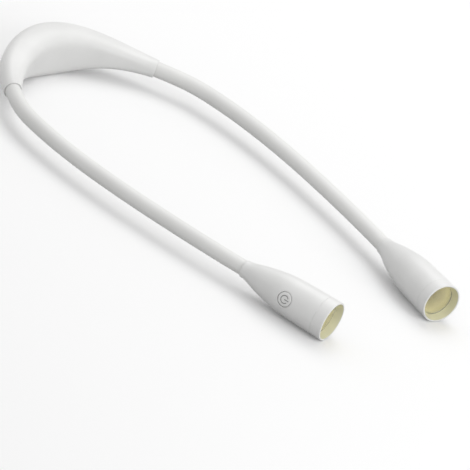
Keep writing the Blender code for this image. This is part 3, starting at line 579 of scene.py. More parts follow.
def following(name, tree, axes, outline, layers, floor=None, ceiling=None):
    """A closed shape whose rings follow a surface: layers are (offset of the outline, height over it)."""
    rows = [surface_ring(tree, axes, outline(offset), above) for offset, above in layers]
    if floor is not None:
        rows.insert(0, [Vector((u, v, floor)) for u, v in outline(layers[0][0])])
    if ceiling is not None:
        rows.append([Vector((u, v, ceiling)) for u, v in outline(layers[-1][0])])
    return closed_shape(name, ([axes @ point for point in flat(rows)], capped(rows)))


def opened(obj, tree, axes, outline, floor):
    """Cuts an opening with a rounded lip through the surface that faces the axes' Z."""
    cut(obj, following("opening", tree, axes, outline, LIP_LAYERS, floor=floor, ceiling=CUT_TOP))


def smoothed_source(obj):
    """A shape's surface, for heights over it, and its smooth normals, for restoring them after a cut."""
    verts = [v.co.copy() for v in obj.data.vertices]
    normals = [v.normal.copy() for v in obj.data.vertices]
    polys = [tuple(p.vertices) for p in obj.data.polygons]
    return BVHTree.FromPolygons(verts, polys), verts, normals, polys


def restore_normals(obj, source):
    """Gives each corner that lies on the old shape the old shape's smooth normal."""
    tree, verts, normals, polys = source
    mesh = obj.data
    mesh.set_sharp_from_angle(angle=SMOOTH_LIMIT)
    corner_normals = [tuple(n.vector) for n in mesh.corner_normals]
    for poly in mesh.polygons:
        for corner in poly.loop_indices:
            point = mesh.vertices[mesh.loops[corner].vertex_index].co
            place, _, face, distance = tree.find_nearest(point)
            if place is None or distance > ON_SURFACE:
                continue
            weights = [1 / ((verts[v] - point).length + LEAST_DISTANCE) ** 2 for v in polys[face]]
            normal = sum((normals[v] * w for v, w in zip(polys[face], weights)), Vector())
            normal.normalize()
            if normal.dot(poly.normal) > cos(SMOOTH_LIMIT):
                corner_normals[corner] = tuple(normal)
    mesh.normals_split_custom_set(corner_normals)


# The housing and its back cover, parted by a seam that runs round a rounded outline

FLAT_EDGE = 0.0003  # how softly the underside's flat begins
HALVINGS = 30
STATIONS, ROWS = 72, 28
OUTER_ROWS, END_STATIONS = 104, 26

# Pairs of a gap to the window's outline, or a way back from the collar's end, and how far the skin draws in
HOUSING_LIP = (
    (-0.0003, 0), (-0.00016, 0.00001), (-0.00006, 0.00006), (0, 0.00018), (0, HOUSING_WALL),
)
COVER_LIP = (
    (0.0006, 0), (0.00046, 0.00001), (0.00036, 0.00006), (0.0003, 0.00018), (0.0003, HOUSING_WALL),
)
COLLAR_LIP = (
    (0.0003, 0), (0.00012, 0.00005), (0.00003, 0.00014), (0, 0.00028), (0, 0.0005),
    (0.00004, 0.0006), (0.00014, 0.00066), (0.0025, 0.00068), (0.0026, 0.0011),
)


def reach_at(turn, inset):
    """The section's swell at a place on the arc, and its reach outwards, up, inwards and down."""
    swell = max(0.0, cos(turn / HOUSING_TURN * pi / 2))
    sizes = (
        (HOUSING_OUT, SWELL_OUT), (HOUSING_UP, SWELL_UP),
        (HOUSING_IN, SWELL_IN), (ARM_Z + HOUSING_PRESSED, SWELL_DOWN),
    )
    return swell, [COLLAR_R + (size - COLLAR_R) * swell**power - inset for size, power in sizes]


def skin_point(turn, angle, inset=0.0):
    """A point on the housing's skin, drawn in by an inset, at an angle round its section."""
    swell, (out, top, inner, low) = reach_at(turn, inset)
    across, rise = cos(angle), sin(angle)
    if rise >= 0:
        square = SQUARE_TOP_OUT if across >= 0 else SQUARE_TOP_IN
    else:
        square = SQUARE_LOW_OUT if across >= 0 else SQUARE_LOW_IN
    power = 2 + (square - 2) * swell
    reach = (abs(across) ** power + abs(rise) ** power) ** (-1 / power)
    up = rise * reach * (top if rise >= 0 else low)
    if rise > 0 > across:
        up *= 1 - TOP_FALL_SHARE * swell * (across * reach) ** 2
    over = up + ARM_Z - inset
    if over < -FLAT_EDGE:
        over = 0.0
    elif over < FLAT_EDGE:
        over = (over + FLAT_EDGE) ** 2 / (4 * FLAT_EDGE)
    return arc_point(turn, across * reach * (out if across >= 0 else inner), over - ARM_Z + inset)


def angle_at(turn, up):
    """The angle at which the outer half of the skin reaches a height over the arc."""
    low, high = -pi / 2, pi / 2
    for _ in range(HALVINGS):
        middle = (low + high) / 2
        if skin_point(turn, middle).z - ARM_Z < up:
            low = middle
        else:
            high = middle
    return (low + high) / 2


def window_along(station):
    """A station's share of the way from the window's middle to its end."""
    return COVER_LAST_SHARE * sin(pi * (station / STATIONS - 1 / 2))


def window_turn(station, gap):
    return (HOUSING_TURN * COVER_TURN_SHARE - gap / HOUSING_R) * window_along(station)


@cache
def window_angles(station, gap):
    """The angles of the window's lower and upper edge at a station."""
    turn = window_turn(station, gap)
    rounding = (1 - abs(window_along(station)) ** COVER_CORNER) ** (1 / COVER_CORNER)
    _, (_, top, _, low) = reach_at(turn, 0.0)
    return (
        angle_at(turn, -rounding * (low * COVER_DOWN_SHARE - gap)),
        angle_at(turn, rounding * (top * COVER_UP_SHARE - gap)),
    )


def window_point(station, row, gap, inset):
    """A point of the back cover's outline or field: a station along it and a row up it."""
    low, high = window_angles(station, gap)
    return skin_point(window_turn(station, gap), low + (high - low) * row / ROWS, inset)


def outline_places():
    """The station and row of each point of the window's outline, once round."""
    half = [(i, 0) for i in range(STATIONS)] + [(STATIONS, k) for k in range(ROWS)]
    return half + [(STATIONS - i, ROWS - k) for i, k in half]


def lip_rows(profile):
    return [[window_point(i, k, gap, inset) for i, k in outline_places()] for gap, inset in profile]


def field_rows(gap, inset):
    return [
        [window_point(i, k, gap, inset) for k in range(ROWS + 1)] for i in range(STATIONS + 1)
    ]


def outer_patch(gap, inset):
    """The skin round the back of the window: over the top, down the neck side and along the underside."""
    rows = []
    for i in range(STATIONS + 1):
        turn = window_turn(i, gap)
        low, high = window_angles(i, gap)
        span = low + 2 * pi - high
        rows.append([skin_point(turn, high + span * j / OUTER_ROWS, inset) for j in range(OUTER_ROWS + 1)])
    return rows


def end_rows(sign, gap, inset):
    """Whole rings from the window's end to the collar, at the angles of the window's last station."""
    low, high = window_angles(STATIONS if sign > 0 else 0, gap)
    span = low + 2 * pi - high
    angles = [high + span * j / OUTER_ROWS for j in range(OUTER_ROWS)]
    angles += [low + 2 * pi + (high - low) * k / ROWS for k in range(ROWS)]
    start = window_turn(STATIONS, gap)
    end = HOUSING_TURN - COLLAR_LIP[-1 if inset else 0][0] / HOUSING_R
    rows = []
    for step in range(END_STATIONS + 1):
        turn = start + (end - start) * step / END_STATIONS
        wall = inset
        if inset and step:
            wall = COLLAR_WALL + (HOUSING_WALL - COLLAR_WALL) * reach_at(turn, 0)[0]
        rows.append([skin_point(sign * turn, angle, wall) for angle in angles])
    if not inset:
        for back, draw in COLLAR_LIP[1:]:
            turn = HOUSING_TURN - back / HOUSING_R
            rows.append([skin_point(sign * turn, angle, draw) for angle in angles])
    return rows


def housing_skin():
    outside_and_inside = (HOUSING_LIP[0], HOUSING_LIP[-1])
    patches = [grid(outer_patch(*layer)) for layer in outside_and_inside]
    patches.append(grid(lip_rows(HOUSING_LIP), closed=True))
    for sign in SIDES.values():
        patches += [grid(end_rows(sign, *layer), closed=True) for layer in outside_and_inside]
    return joined(patches)


def cover_skin():
    patches = [grid(field_rows(*layer)) for layer in (COVER_LIP[0], COVER_LIP[-1])]
    return joined([*patches, grid(lip_rows(COVER_LIP), closed=True)])


# The charging socket and the charge light's pipe, under the housing

PORT_SIZE, PORT_CORNER, PORT_CUT_DEPTH = (0.0083, 0.0033), 0.0008, 0.003
SOCKET_CLEARANCE, SOCKET_CORNER, SOCKET_LOW_CORNER = 0.0006, 0.0006, 0.0011
SOCKET_WALL, SOCKET_SLOT_DEPTH, SOCKET_BACK_ROUND = 0.00035, 0.0042, 0.0002
SOCKET_LIP = ((0, 0.00016), (0.00003, 0.00006), (0.0001, 0))  # (drawn in, down from the face)
TONGUE_SIZE, TONGUE_CORNER = (0.0036, 0.0006), 0.0001
TONGUE_TIP = ((0, -0.001), (-0.00005, -0.0009), (-0.0001, -0.00086))  # (offset, height)
LINING_CLEARANCE, LINING_CORNER, LINING_INTO_WALL = 0.0013, 0.0002, 0.00005
LINING_EDGE, LINING_T = 0.0004, 0.00045
BEHIND_SLOT = 0.0001
CONTACTS, CONTACT_PITCH, CONTACT_SIZE, CONTACT_CORNER = 5, 0.00065, (0.00026, 0.0001), 0.00004
CONTACT_START = 0.0003
CONTACT_TIP = ((0, -0.0013), (-0.00002, -0.00126))
FINE_STEPS, FEW_STEPS = 3, 48
PIPE_R, PIPE_HOLE_R = 0.00095, 0.00125
PIPE_CROWN = (
    (0, -0.0003), (-0.00004, -0.00018), (-0.00014, -0.0001), (-0.0003, -0.00005), (-0.0005, -0.00002),
    (-0.0007, 0),
)


def under(node):
    """Axes with Z down over a node's lowest face, and the node's own height."""
    low, high = (Vector(corner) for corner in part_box(node))
    middle = (low + high) / 2
    return frame_of(Vector((middle.x, middle.y, low.z)), DOWN, RIGHT), high.z - low.z


def fixed(name, shape, axes, finish):
    """A piece that stays on the housing, from a shape in the axes' own numbers."""
    return placed(made_piece(name, shape, finish, "root"), axes)


def port_box(clearance, corner, **options):
    return rounded_box(PORT_SIZE[0] - clearance, PORT_SIZE[1] - clearance, corner, **options)


def socket_shell(axes, depth):
    layers = [(-SOCKET_BACK_ROUND, -depth), (0, SOCKET_BACK_ROUND - depth)]
    layers += [(-draw, -down) for draw, down in SOCKET_LIP]
    layers += [(draw - SOCKET_WALL, -down) for draw, down in reversed(SOCKET_LIP)]
    layers.append((-SOCKET_WALL, -SOCKET_SLOT_DEPTH))
    outside = port_box(SOCKET_CLEARANCE, SOCKET_CORNER, lower_corner=SOCKET_LOW_CORNER)
    shell = fixed("charging_socket_shell", pressed(outside, layers), axes, PLATING)
    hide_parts("micro_usb_socket")


def charging_socket():
    axes, depth = under("micro_usb_socket")
    slot_end = -SOCKET_SLOT_DEPTH
    socket_shell(axes, depth)
    tongue = pressed(
        rounded_box(*TONGUE_SIZE, TONGUE_CORNER, FINE_STEPS), ((0, slot_end - BEHIND_SLOT), *TONGUE_TIP)
    )
    fixed("charging_socket_tongue", tongue, axes, BLACK)
    lining = pressed(port_box(LINING_CLEARANCE, LINING_CORNER, steps=FINE_STEPS), (
        (LINING_INTO_WALL, slot_end - BEHIND_SLOT), (LINING_INTO_WALL, slot_end + LINING_EDGE),
        (0, slot_end + LINING_T),
    ))
    fixed("charging_socket_lining", lining, axes, BLACK)
    strip = rounded_box(*CONTACT_SIZE, CONTACT_CORNER, 2)
    layers = ((0, slot_end + CONTACT_START), *CONTACT_TIP)
    strips = [
        pressed(shifted(strip, CONTACT_PITCH * (i - (CONTACTS - 1) / 2), TONGUE_SIZE[1] / 2), layers)
        for i in range(CONTACTS)
    ]
    fixed("charging_socket_contacts", joined(strips), axes, CONTACT)


def light_pipe():
    axes, depth = under("light_pipe")
    shape = pressed(circle(PIPE_R, FEW_STEPS), ((0, -depth), *PIPE_CROWN))
    pipe = fixed("charge_light_window", shape, axes, PIPE)
    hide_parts("light_pipe")


# The screws through the back cover, each at the bottom of a round pocket

SCREW_TURN_SHARE, SCREW_SEAT_OUT = 0.48, 0.0055
POCKET_R, POCKET_WALL, POCKET_FLOOR_T, POCKET_TOP_IN = 0.0021, 0.001, 0.0008, 0.0007
POCKET_ROUND = ((0, 0.00025), (0.00007, 0.00007), (0.00025, 0))  # (in from the side, up from the floor)
SHANK_HOLE_R, SHANK_R, SHANK_LENGTH = 0.0011, 0.00095, 0.003
SCREW_HEAD_R, SCREW_HEAD_T, SCREW_EDGE = 0.0018, 0.0014, 0.0001
CROWN_R, CROWN_DROP, BROW_DROP = 0.0012, 0.00012, 0.00063
CROWN_STEPS, BROW_STEPS = 6, 8
SCREW_SHARP = 30
DRIVE_REACH, DRIVE_HALF, DRIVE_DEPTH = 0.0013, 0.0003, 0.0007
DRIVE_TAPER, DRIVE_MOUTH, DRIVE_OVER = 0.0002, 0.0001, 0.001
POCKET_STEPS = 64
SCREW_SEAT = SCREW_SEAT_OUT + SEAT_GAP
SCREW_TOP = SCREW_SEAT + SCREW_HEAD_T


def quarter_turn(steps):
    """Angles from the first step to a quarter turn."""
    return [pi / 2 * i / steps for i in range(1, steps + 1)]


def pocket_outline(top):
    floor = SCREW_SEAT_OUT
    inside = [(POCKET_R, top)] + [(POCKET_R - draw, floor + up) for draw, up in POCKET_ROUND]
    return inside + [
        (SHANK_HOLE_R, floor), (SHANK_HOLE_R, floor - POCKET_FLOOR_T),
        (POCKET_R + POCKET_WALL, floor - POCKET_FLOOR_T), (POCKET_R + POCKET_WALL, top),
    ]


def screw_outline():
    """A pan head and the start of its shank, down the outside."""
    crown = [
        (CROWN_R * i / CROWN_STEPS, SCREW_TOP - CROWN_DROP * (i / CROWN_STEPS) ** 2)
        for i in range(CROWN_STEPS + 1)
    ]
    low = SCREW_TOP - (CROWN_DROP + BROW_DROP)
    brow = [
        (CROWN_R + (SCREW_HEAD_R - CROWN_R) * sin(a), low + BROW_DROP * cos(a))
        for a in quarter_turn(BROW_STEPS)
    ]
    return crown + brow + [
        (SCREW_HEAD_R, SCREW_SEAT + SCREW_EDGE), (SCREW_HEAD_R - SCREW_EDGE, SCREW_SEAT),
        (SHANK_R, SCREW_SEAT), (SHANK_R, SCREW_SEAT - SHANK_LENGTH), (0, SCREW_SEAT - SHANK_LENGTH),
    ]


def pan_screw(side, axes):
    shape = spun(screw_outline(), FEW_STEPS)
    screw = made_piece(f"{side}_pan_screw", shape, STEEL, "root")
    cut(screw, closed_shape("drive", pressed(cross(DRIVE_REACH, DRIVE_HALF), (
        (-DRIVE_TAPER, SCREW_TOP - DRIVE_DEPTH), (0, SCREW_TOP - DRIVE_MOUTH),
        (DRIVE_TAPER, SCREW_TOP + DRIVE_OVER),
    ))))
    screw.data.set_sharp_from_angle(angle=radians(SCREW_SHARP))
    placed(screw, axes)
    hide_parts(f"{side}_cover_screw")


def cover_screws(cover, tree):
    for side, sign in SIDES.items():
        turn = sign * SCREW_TURN_SHARE * HOUSING_TURN
        axes = frame_of(arc_point(turn), Vector((sin(turn), cos(turn), 0)), UP)
        opened(cover, tree, axes, circle(POCKET_R, POCKET_STEPS), floor=SCREW_SEAT_OUT)
        top = over_surface(tree, axes, 0, 0, -POCKET_TOP_IN)
        pocket = spun(pocket_outline(top), POCKET_STEPS, closed=True)
        fixed(f"{side}_screw_pocket", pocket, axes, WHITE)
        pan_screw(side, axes)


housing = made_piece("housing_skin", housing_skin(), WHITE, "root")
cover = made_piece("cover_skin", cover_skin(), WHITE, "root")
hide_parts("neck_housing")
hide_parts("back_cover")

source = smoothed_source(housing)
for node, outline in (
    ("micro_usb_socket", rounded_box(*PORT_SIZE, PORT_CORNER)),
    ("light_pipe", circle(PIPE_HOLE_R, FEW_STEPS)),
):
    opened(housing, source[0], under(node)[0], outline, floor=-PORT_CUT_DEPTH)
restore_normals(housing, source)
charging_socket()
light_pipe()
source = smoothed_source(cover)
cover_screws(cover, source[0])
restore_normals(cover, source)


# Arm tubes, one skin piece across each joint

TUBE_SIDES, TUBE_RING_PITCH, LEAST_RINGS = 40, 0.0007, 12
TUBE_SHARP = 60
TUBE_IN_COLLAR, TUBE_IN_HEAD = 0.0022, 0.002
BLEND_AT_COLLAR, BLEND_AT_HEAD = 0.0095, 0.0078
BLEND_SHARE = 0.485  # of a link's length on each side of a joint, where the route is looked up; the skin is not bent by it


def tube_shape(route, start, end):
    steps = max(LEAST_RINGS, round((end - start) / TUBE_RING_PITCH))
    rows = []
    for step in range(steps + 1):
        distance = start + (end - start) * step / steps
        axes = frame_of(route.at(distance), route.heading(distance), UP)
        rows.append([axes @ Vector((*around(TUBE_R, angle), 0)) for angle in angles_round(TUBE_SIDES)])
    return grid(rows, closed=True)


def arm_tube(side, sign):
    route = arm_route(sign)
    last = route.length - HEAD_STEM
    step = (last - ANCHOR_STANDOFF) / LINKS
    joints = [ANCHOR_STANDOFF + step * i for i in range(LINKS)] + [last]
    ends = [-TUBE_IN_COLLAR] + [(a + b) / 2 for a, b in zip(joints, joints[1:])]
    ends.append(last + HEAD_START + TUBE_IN_HEAD)
    for i, at in enumerate(joints):
        shape = tube_shape(route, ends[i], ends[i + 1])
        tube = made_piece(f"{side}_tube_skin_{i + 1}", shape, SILICONE, sharp=TUBE_SHARP)
        before = BLEND_AT_COLLAR if i == 0 else BLEND_SHARE * step
        after = BLEND_AT_HEAD if i == LINKS else BLEND_SHARE * step
        route.at(at - before)
        route.at(at + after)
        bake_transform(tube)
        if i < LINKS:
            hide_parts(f"{side}_arm_sleeve_{i + 1}")
        if i == 0:
            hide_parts(f"{side}_arm_anchor")


for side, sign in SIDES.items():
    arm_tube(side, sign)


# Heads, in their own axes: Z forward from the head's joint and X through the button

HEAD_STEPS, BELL_STEPS, SIDE_STEPS, BEZEL_STEPS, THROAT_STEPS = 112, 10, 92, 8, 6
SEAM_LIP = 0.00008
SEAM_HALF_LIP = SEAM_LIP / 2
SHELL_WALL, SEAM_WIDTH = 0.0015, 0.0014
TUBE_HOLE_R = TUBE_R + 0.00006
HOLE_DEPTHS, HOLE_STEP = (0.0035, 0.005, 0.01), 0.0002
HOLE_LIP = ((0, 0.00014), (0.00005, 0.00003), (0.00014, 0))  # (out from the hole, forward from the end)
NECK_LIP = ((0.0002, 0), (0.00006, 0.00005), (0, 0.00018))  # (in from the side, forward from the end)
INSIDE_BACKS = (0.002, 0.012, 0.022, 0.03, 0.036)  # back from the seam at the bezel
SEAM_GAP, BEZEL_TAPER_END = 0.00007, 0.0006
RIM_SIDE = ((0.00003, 0.00022), (0.0001, 0.00009), (0.00022, 0.00002), (0.00036, 0))  # (in, back)
RIM_INSIDE = ((0.00026, 0), (0.00012, 0.00003), (0.00003, 0.00012), (0, 0.00026))  # (in, back)
THROAT_R, THROAT_FRONT, THROAT_BACK = LENS_R + 0.00028, FACE + 0.0027, FACE + 0.0004
THROAT_EDGE = ((0.00012, 0), (0.00004, 0.00004), (0, 0.00014))  # (out from the throat, back from its front)
RIM_SLACK, RIM_DEPTH = 0.00002, 0.0002
LENS_FRONT, LENS_EDGE_R, LENS_RISE = FACE + 0.0024, LENS_R + 0.0002, 0.0011
LENS_BACK, LENS_DOME, LENS_DOME_STEPS = LENS_FRONT - LENS_T, radians(70), 16
LENS_BEVEL, LENS_BACK_BEVEL = 0.00015, 0.0001
CUP_LOW, CUP_TOP = FACE - 0.0102, FACE + 0.0007
CUP_SMALL_R, CUP_LARGE_R, CUP_WALL, CUP_STEPS = 0.0038, LENS_R - 0.0006, 0.0006, 24
FLANGE_START_R, FLANGE_R, FLANGE_UP, FLANGE_DOWN = CUP_LARGE_R + 0.0003, LENS_R + 0.0001, 0.00012, 0.0005
LED_BOARD_BACK, LED_BOARD_T = 0.0104, 0.0008
LAMP_BASE = FACE - LED_BOARD_BACK + SEAT_GAP + LED_BOARD_T
LAMP_R, LAMP_RISE, LAMP_SINK, LAMP_STEPS = 0.0021, 0.00042, 0.0003, 8
BUTTON_HOLE_R, BUTTON_CAP_R, BUTTON_CUT_FLOOR = 0.00454, 0.004, 0.006
BUTTON_FRAME = frame_of(Vector((0, 0, BUTTON_AT)), RIGHT, UP)
BELL_POINTS = [
    (point.x, point.y) for point in smooth_run(
        [(HEAD_NECK_R, 0, 0)] + [(r * HEAD_R, a * HEAD_LENGTH, 0) for a, r in BELL_SHARES[1:]], BELL_STEPS
    )
]


def bell_radius(along):
    for (low_r, low), (high_r, high) in zip(BELL_POINTS, BELL_POINTS[1:]):
        if along <= high:
            return low_r + (high_r - low_r) * (along - low) / (high - low)
    return BELL_POINTS[-1][0]


FACE_R = bell_radius(FACE - HEAD_START)


def head_frame(sign):
    route = arm_route(sign)
    outward = Vector((sign * cos(HEAD_TOE_IN), -sin(HEAD_TOE_IN), 0))
    button_way = outward * cos(BUTTON_TILT) + UP * sin(BUTTON_TILT)
    return frame_of(route.at(route.length - HEAD_STEM), head_way(sign), button_way)


def shell_outline():
    neck_r, first, end = bell_radius(0), HEAD_START + NECK_LIP[-1][1], FACE - SEAM_LIP
    outline = [(TUBE_HOLE_R, HEAD_START + HOLE_DEPTHS[0])]
    outline += [(TUBE_HOLE_R + out, HEAD_START + up) for out, up in HOLE_LIP]
    outline += [(neck_r - draw, HEAD_START + up) for draw, up in NECK_LIP]
    sides = [first + (end - first) * i / SIDE_STEPS for i in range(1, SIDE_STEPS)]
    outline += [(bell_radius(height - HEAD_START), height) for height in sides]
    outline += [
        (FACE_R, end), (FACE_R - SEAM_HALF_LIP, FACE - SEAM_HALF_LIP), (FACE_R - SEAM_LIP, FACE),
        (FACE_R - SEAM_WIDTH, FACE),
    ]
    outline += [(bell_radius(FACE - back - HEAD_START) - SHELL_WALL, FACE - back) for back in INSIDE_BACKS]
    return outline + [
        (TUBE_HOLE_R + HOLE_STEP, HEAD_START + HOLE_DEPTHS[2]), (TUBE_HOLE_R, HEAD_START + HOLE_DEPTHS[1])
    ]


def bezel_outline():
    back = FACE + SEAM_GAP
    start, end = back + SEAM_LIP, HEAD_END - BEZEL_TAPER_END
    outline = [
        (FACE_R - SEAM_WIDTH, back), (FACE_R - SEAM_LIP, back),
        (FACE_R - SEAM_HALF_LIP, back + SEAM_HALF_LIP), (FACE_R, start),
    ]
    outline += [
        (FACE_R + (HEAD_R - FACE_R) * i / BEZEL_STEPS, start + (end - start) * i / BEZEL_STEPS)
        for i in range(1, BEZEL_STEPS + 1)
    ]
    outline += [(HEAD_R - draw, HEAD_END - down) for draw, down in RIM_SIDE]
    outline += [(RIM_IN_R + out, HEAD_END - down) for out, down in RIM_INSIDE]
    (last_r, last), edge_r = outline[-1], THROAT_R + THROAT_EDGE[0][0]
    outline += [
        (last_r + (edge_r - last_r) * i / THROAT_STEPS, last + (THROAT_FRONT - last) * i / THROAT_STEPS)
        for i in range(1, THROAT_STEPS + 1)
    ]
    outline += [(THROAT_R + out, THROAT_FRONT - down) for out, down in THROAT_EDGE[1:]]
    return outline + [(THROAT_R, THROAT_BACK)]


def lens_outline():
    """A lens with a low dome in front and a bevelled edge."""
    dome = []
    for i in range(LENS_DOME_STEPS + 1):
        angle = LENS_DOME * i / LENS_DOME_STEPS
        share = sin(angle) / sin(LENS_DOME)
        rise = LENS_RISE * (cos(angle) - cos(LENS_DOME))
        dome.append(((LENS_EDGE_R - LENS_BEVEL) * share, LENS_FRONT + rise))
    return dome + [
        (LENS_EDGE_R, LENS_FRONT - LENS_BEVEL), (LENS_EDGE_R, LENS_BACK + LENS_BACK_BEVEL),
        (LENS_EDGE_R - LENS_BACK_BEVEL, LENS_BACK), (0, LENS_BACK),
    ]


def reflector_outline():
    """A parabolic cup from the lamp to the lens."""
    cup = []
    for i in range(CUP_STEPS + 1):
        share = i / CUP_STEPS
        radius = sqrt(CUP_SMALL_R**2 + (CUP_LARGE_R**2 - CUP_SMALL_R**2) * share)
        cup.append((radius, CUP_LOW + (CUP_TOP - CUP_LOW) * share))
    over = CUP_TOP + FLANGE_UP
    flange = [(FLANGE_START_R, over), (FLANGE_R, over), (FLANGE_R, CUP_TOP - FLANGE_DOWN)]
    return cup + flange + [(radius + CUP_WALL, height) for radius, height in reversed(cup)]


def emitter_outline():
    """The round glowing field on the lamp's own little board."""
    dome = [(LAMP_R * sin(a), LAMP_BASE + LAMP_RISE * cos(a)) for a in quarter_turn(LAMP_STEPS)]
    return [(0, LAMP_BASE + LAMP_RISE), *dome, (LAMP_R, LAMP_BASE - LAMP_SINK), (0, LAMP_BASE - LAMP_SINK)]


# Where the bezel gets its painted lamp light: 1 inside the mouth, 0 outside
def in_throat(point):
    return float(hypot(*point[:2]) < RIM_IN_R + RIM_SLACK and point.z < HEAD_END - RIM_DEPTH)


# Where the reflector's painted shade is read: 0 at the lamp, darkest, and 1 at the lens
def cup_share(point):
    return (point.z - CUP_LOW) / (CUP_TOP - CUP_LOW)


def seated(obj, side, axes, node):
    """Puts a head's piece in its place, in the stead of the node that it dresses."""
    placed(obj, axes)
    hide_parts(f"{side}_{node}")
    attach(obj, f"{side}_head")


def head_shell(side, axes):
    """The bell, and the surface that it had before the button's opening was cut."""
    shape = spun(shell_outline(), HEAD_STEPS, closed=True)
    shell = made_piece(f"{side}_bell", shape, WHITE)
    source = smoothed_source(shell)
    opened(shell, source[0], BUTTON_FRAME, circle(BUTTON_HOLE_R), floor=BUTTON_CUT_FLOOR)
    restore_normals(shell, source)
    seated(shell, side, axes, "head_shell")
    return source[0]


def mouth(side, axes):
    """The bezel, the lens, the reflector and the lamp."""
    ring = made_piece(f"{side}_bezel", spun(bezel_outline(), HEAD_STEPS), BEZEL)
    kept_share(ring, THROAT_SHARE, in_throat)
    seated(ring, side, axes, "bezel_ring")
    lens = made_piece(f"{side}_lens_glass", spun(lens_outline(), ROUND_STEPS), LENS)
    seated(lens, side, axes, "lens")
    shape = spun(reflector_outline(), ROUND_STEPS, closed=True)
    cup = made_piece(f"{side}_reflector_cup", shape, REFLECTOR)
    kept_share(cup, DEPTH_SHARE, cup_share)
    seated(cup, side, axes, "reflector")
    shape = spun(emitter_outline(), FEW_STEPS)
    emitter = placed(made_piece(f"{side}_emitter", shape, LED_LIT), axes)
    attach(emitter, f"{side}_head")


# Buttons, each a cap that follows the shell's curve, with the power symbol sunk into it

SKIRT_R = BUTTON_HOLE_R - 0.00008
SKIRT_RINGS = ((0, -0.0012), (0, -0.00088), (-0.00005, -0.00082))  # (out from the skirt, over the shell)
CAP_RINGS = (
    (0.00008, -0.0008), (0.00002, -0.00077), (0, -0.0007), (0, 0.00006), (-0.00003, 0.00015),
    (-0.0001, 0.00022), (-0.0002, 0.00026), (-0.00036, 0.00028), (-0.0008, 0.00026), (-0.0011, 0.00021),
)  # (out from the cap's side, over the shell)
CAP_FIELD, CAP_FIELD_RINGS = 0.0002, 26
SYMBOL_HALF, SYMBOL_DEPTH, SYMBOL_CLEARANCE = 0.00028, 0.0002, 0.00001
SYMBOL_RING_R, SYMBOL_GAP, SYMBOL_RING_STEPS = 0.00225, radians(36), 56
SYMBOL_BAR_START, SYMBOL_BAR_LENGTH, SYMBOL_BAR_STEPS = 0.0002, 0.0024, 8
SYMBOL_PATHS = {
    "ring": [
        around(SYMBOL_RING_R, SYMBOL_GAP + (2 * pi - 2 * SYMBOL_GAP) * i / SYMBOL_RING_STEPS)
        for i in range(SYMBOL_RING_STEPS + 1)
    ],
    "bar": [
        (SYMBOL_BAR_START + SYMBOL_BAR_LENGTH * i / SYMBOL_BAR_STEPS, 0.0)
        for i in range(SYMBOL_BAR_STEPS + 1)
    ],
}
SYMBOL_LAYERS = (
    (0, -SYMBOL_DEPTH), (0, -0.00007), (0.00003, -0.00002), (0.00008, 0.000005), (0.00014, 0.00005),
)  # (offset of the outline, height over the cap)
MARK_LAYERS = ((0, -0.0003), (0, -0.00016), (-0.00004, -0.00013))


def plain_cap(side, tree):
    axes = BUTTON_FRAME
    profile = [(SKIRT_R + out, above) for out, above in SKIRT_RINGS]
    profile += [(BUTTON_CAP_R + out, above) for out, above in CAP_RINGS]
    inner = profile[-1][0]
    profile += [(inner * (1 - i / CAP_FIELD_RINGS), CAP_FIELD) for i in range(1, CAP_FIELD_RINGS)]
    rows = [surface_ring(tree, axes, circle(radius)(0.0), above) for radius, above in profile]
    centre = Vector((0, 0, over_surface(tree, axes, 0, 0, CAP_FIELD)))
    verts = [axes @ point for point in (*flat(rows), centre)]
    last = len(verts) - 1 - ROUND_STEPS
    faces = quads(rows, ringed=True)
    faces += [(last + i, last + (i + 1) % ROUND_STEPS, len(verts) - 1) for i in range(ROUND_STEPS)]
    faces.append(tuple(range(ROUND_STEPS - 1, -1, -1)))
    return made_piece(f"{side}_button_cap", (verts, faces), BUTTON_WHITE)


def symbol_mark(name, tree, path):
    """A dark grey fill at the bottom of one stroke of the symbol: partly ink, partly painted shade in the
    sunk stroke.
    """
    outline = stroke(path, SYMBOL_HALF - SYMBOL_CLEARANCE)
    mark = following(name, tree, BUTTON_FRAME, outline, MARK_LAYERS)
    mark.data.materials.append(MARK)
    return dressed(mark)


def power_button(side, axes, shell_tree):
    cap = plain_cap(side, shell_tree)
    source = smoothed_source(cap)
    for path in SYMBOL_PATHS.values():
        outline = stroke(path, SYMBOL_HALF)
        cut(cap, following("symbol", source[0], BUTTON_FRAME, outline, SYMBOL_LAYERS, ceiling=CUT_TOP))
    restore_normals(cap, source)
    marks = [symbol_mark(f"{side}_symbol_{word}", source[0], path) for word, path in SYMBOL_PATHS.items()]
    for obj in (cap, *marks):
        placed(obj, axes)
        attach(obj, f"{side}_button")
    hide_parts(f"{side}_power_button")


for side, sign in SIDES.items():
    axes = head_frame(sign)
    whole = head_shell(side, axes)
    mouth(side, axes)
    power_button(side, axes, whole)


# Stage, light and camera

FLOOR_SIZE, FLOOR_DROP, FLOOR_ROUGH = 6, 0.0002, 0.9
FLOOR_FOR_LIGHT, FLOOR_FOR_CAMERA, FLOOR_GLOW = 0.47, 0.86, 0.1
WORLD_FOR_LIGHT, WORLD_FOR_CAMERA = 0.66, 1.0
LAMPS = {
    "key": ((0.539, 0.363, 1.126), 1.0, 5.3),
    "front": ((0.0, -1.07, 0.54), 0.9, 4.4),
}  # place, width and power
CAMERA_DISTANCE, CAMERA_SPAN, SENSOR_WIDTH, VIEW_END = 12.0, 0.26404, 36, 100
CAMERA_BACK = Vector((-0.756, -0.5099, 0.4103))
CAMERA_RIGHT = Vector((0.6463, -0.6807, 0.3448))
CAMERA_LOOK = Vector((0.0455, 0.00033, -0.0325))


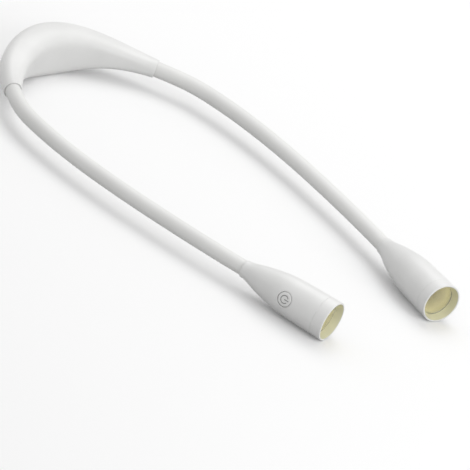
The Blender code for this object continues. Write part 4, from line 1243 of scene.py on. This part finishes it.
def floor_material():
    """A matt floor, brighter for the camera and in reflections than in the light that it gives back."""
    made, tree, shader = node_material("floor")
    path = add(tree, "ShaderNodeLightPath", {}).outputs
    rays = {0: path["Is Camera Ray"], 1: path["Is Glossy Ray"]}
    seen = add(tree, "ShaderNodeMath", rays, operation="MAXIMUM").outputs[0]
    shade = ramp(tree, seen, (0, 1), (FLOOR_FOR_LIGHT, FLOOR_FOR_CAMERA))
    fill(shader, {"Base Color": shade, "Roughness": FLOOR_ROUGH, "Specular IOR Level": 0.0})
    strength = add(tree, "ShaderNodeMath", {0: seen, 1: FLOOR_GLOW}, operation="MULTIPLY").outputs[0]
    glow = add(tree, "ShaderNodeEmission", {"Strength": strength}).outputs["Emission"]
    both = add(tree, "ShaderNodeAddShader", {0: shader.outputs["BSDF"], 1: glow})
    fill(tree.nodes["Material Output"], {"Surface": both.outputs["Shader"]})
    return made


def make_floor():
    bpy.ops.mesh.primitive_plane_add(size=FLOOR_SIZE, location=(0, 0, -FLOOR_DROP))
    floor = bpy.context.active_object
    floor.name = "floor"
    floor.data.materials.append(floor_material())


def make_world():
    world = bpy.data.worlds.new("studio")
    bpy.context.scene.world = world
    world.use_nodes = True
    tree = world.node_tree
    path = add(tree, "ShaderNodeLightPath", {}).outputs
    level = ramp(tree, path["Is Camera Ray"], (0, 1), (WORLD_FOR_LIGHT, WORLD_FOR_CAMERA))
    fill(tree.nodes["Background"], {"Color": (1, 1, 1, 1), "Strength": level})


def area(name, place, width, power):
    """A round lamp that points at the origin."""
    lamp = bpy.data.lights.new(name, "AREA")
    lamp.shape, lamp.size, lamp.energy = "DISK", width, power
    turn = Vector(place).to_track_quat("Z", "Y").to_matrix().to_4x4()
    in_scene(name, lamp).matrix_world = Matrix.Translation(place) @ turn


def make_camera():
    lens = bpy.data.cameras.new("camera")
    lens.sensor_width, lens.clip_end = SENSOR_WIDTH, VIEW_END
    lens.lens = SENSOR_WIDTH * CAMERA_DISTANCE / CAMERA_SPAN
    camera = in_scene("camera", lens)
    back = CAMERA_BACK.normalized()
    right = (CAMERA_RIGHT - back * CAMERA_RIGHT.dot(back)).normalized()
    turn = Matrix((right, back.cross(right), back)).transposed().to_4x4()
    camera.matrix_world = Matrix.Translation(CAMERA_LOOK + back * CAMERA_DISTANCE) @ turn
    bpy.context.scene.camera = camera


make_floor()
make_world()
for lamp_name, (place, width, power) in LAMPS.items():
    area(lamp_name, place, width, power)
make_camera()
bpy.context.scene.view_settings.view_transform = "Standard"
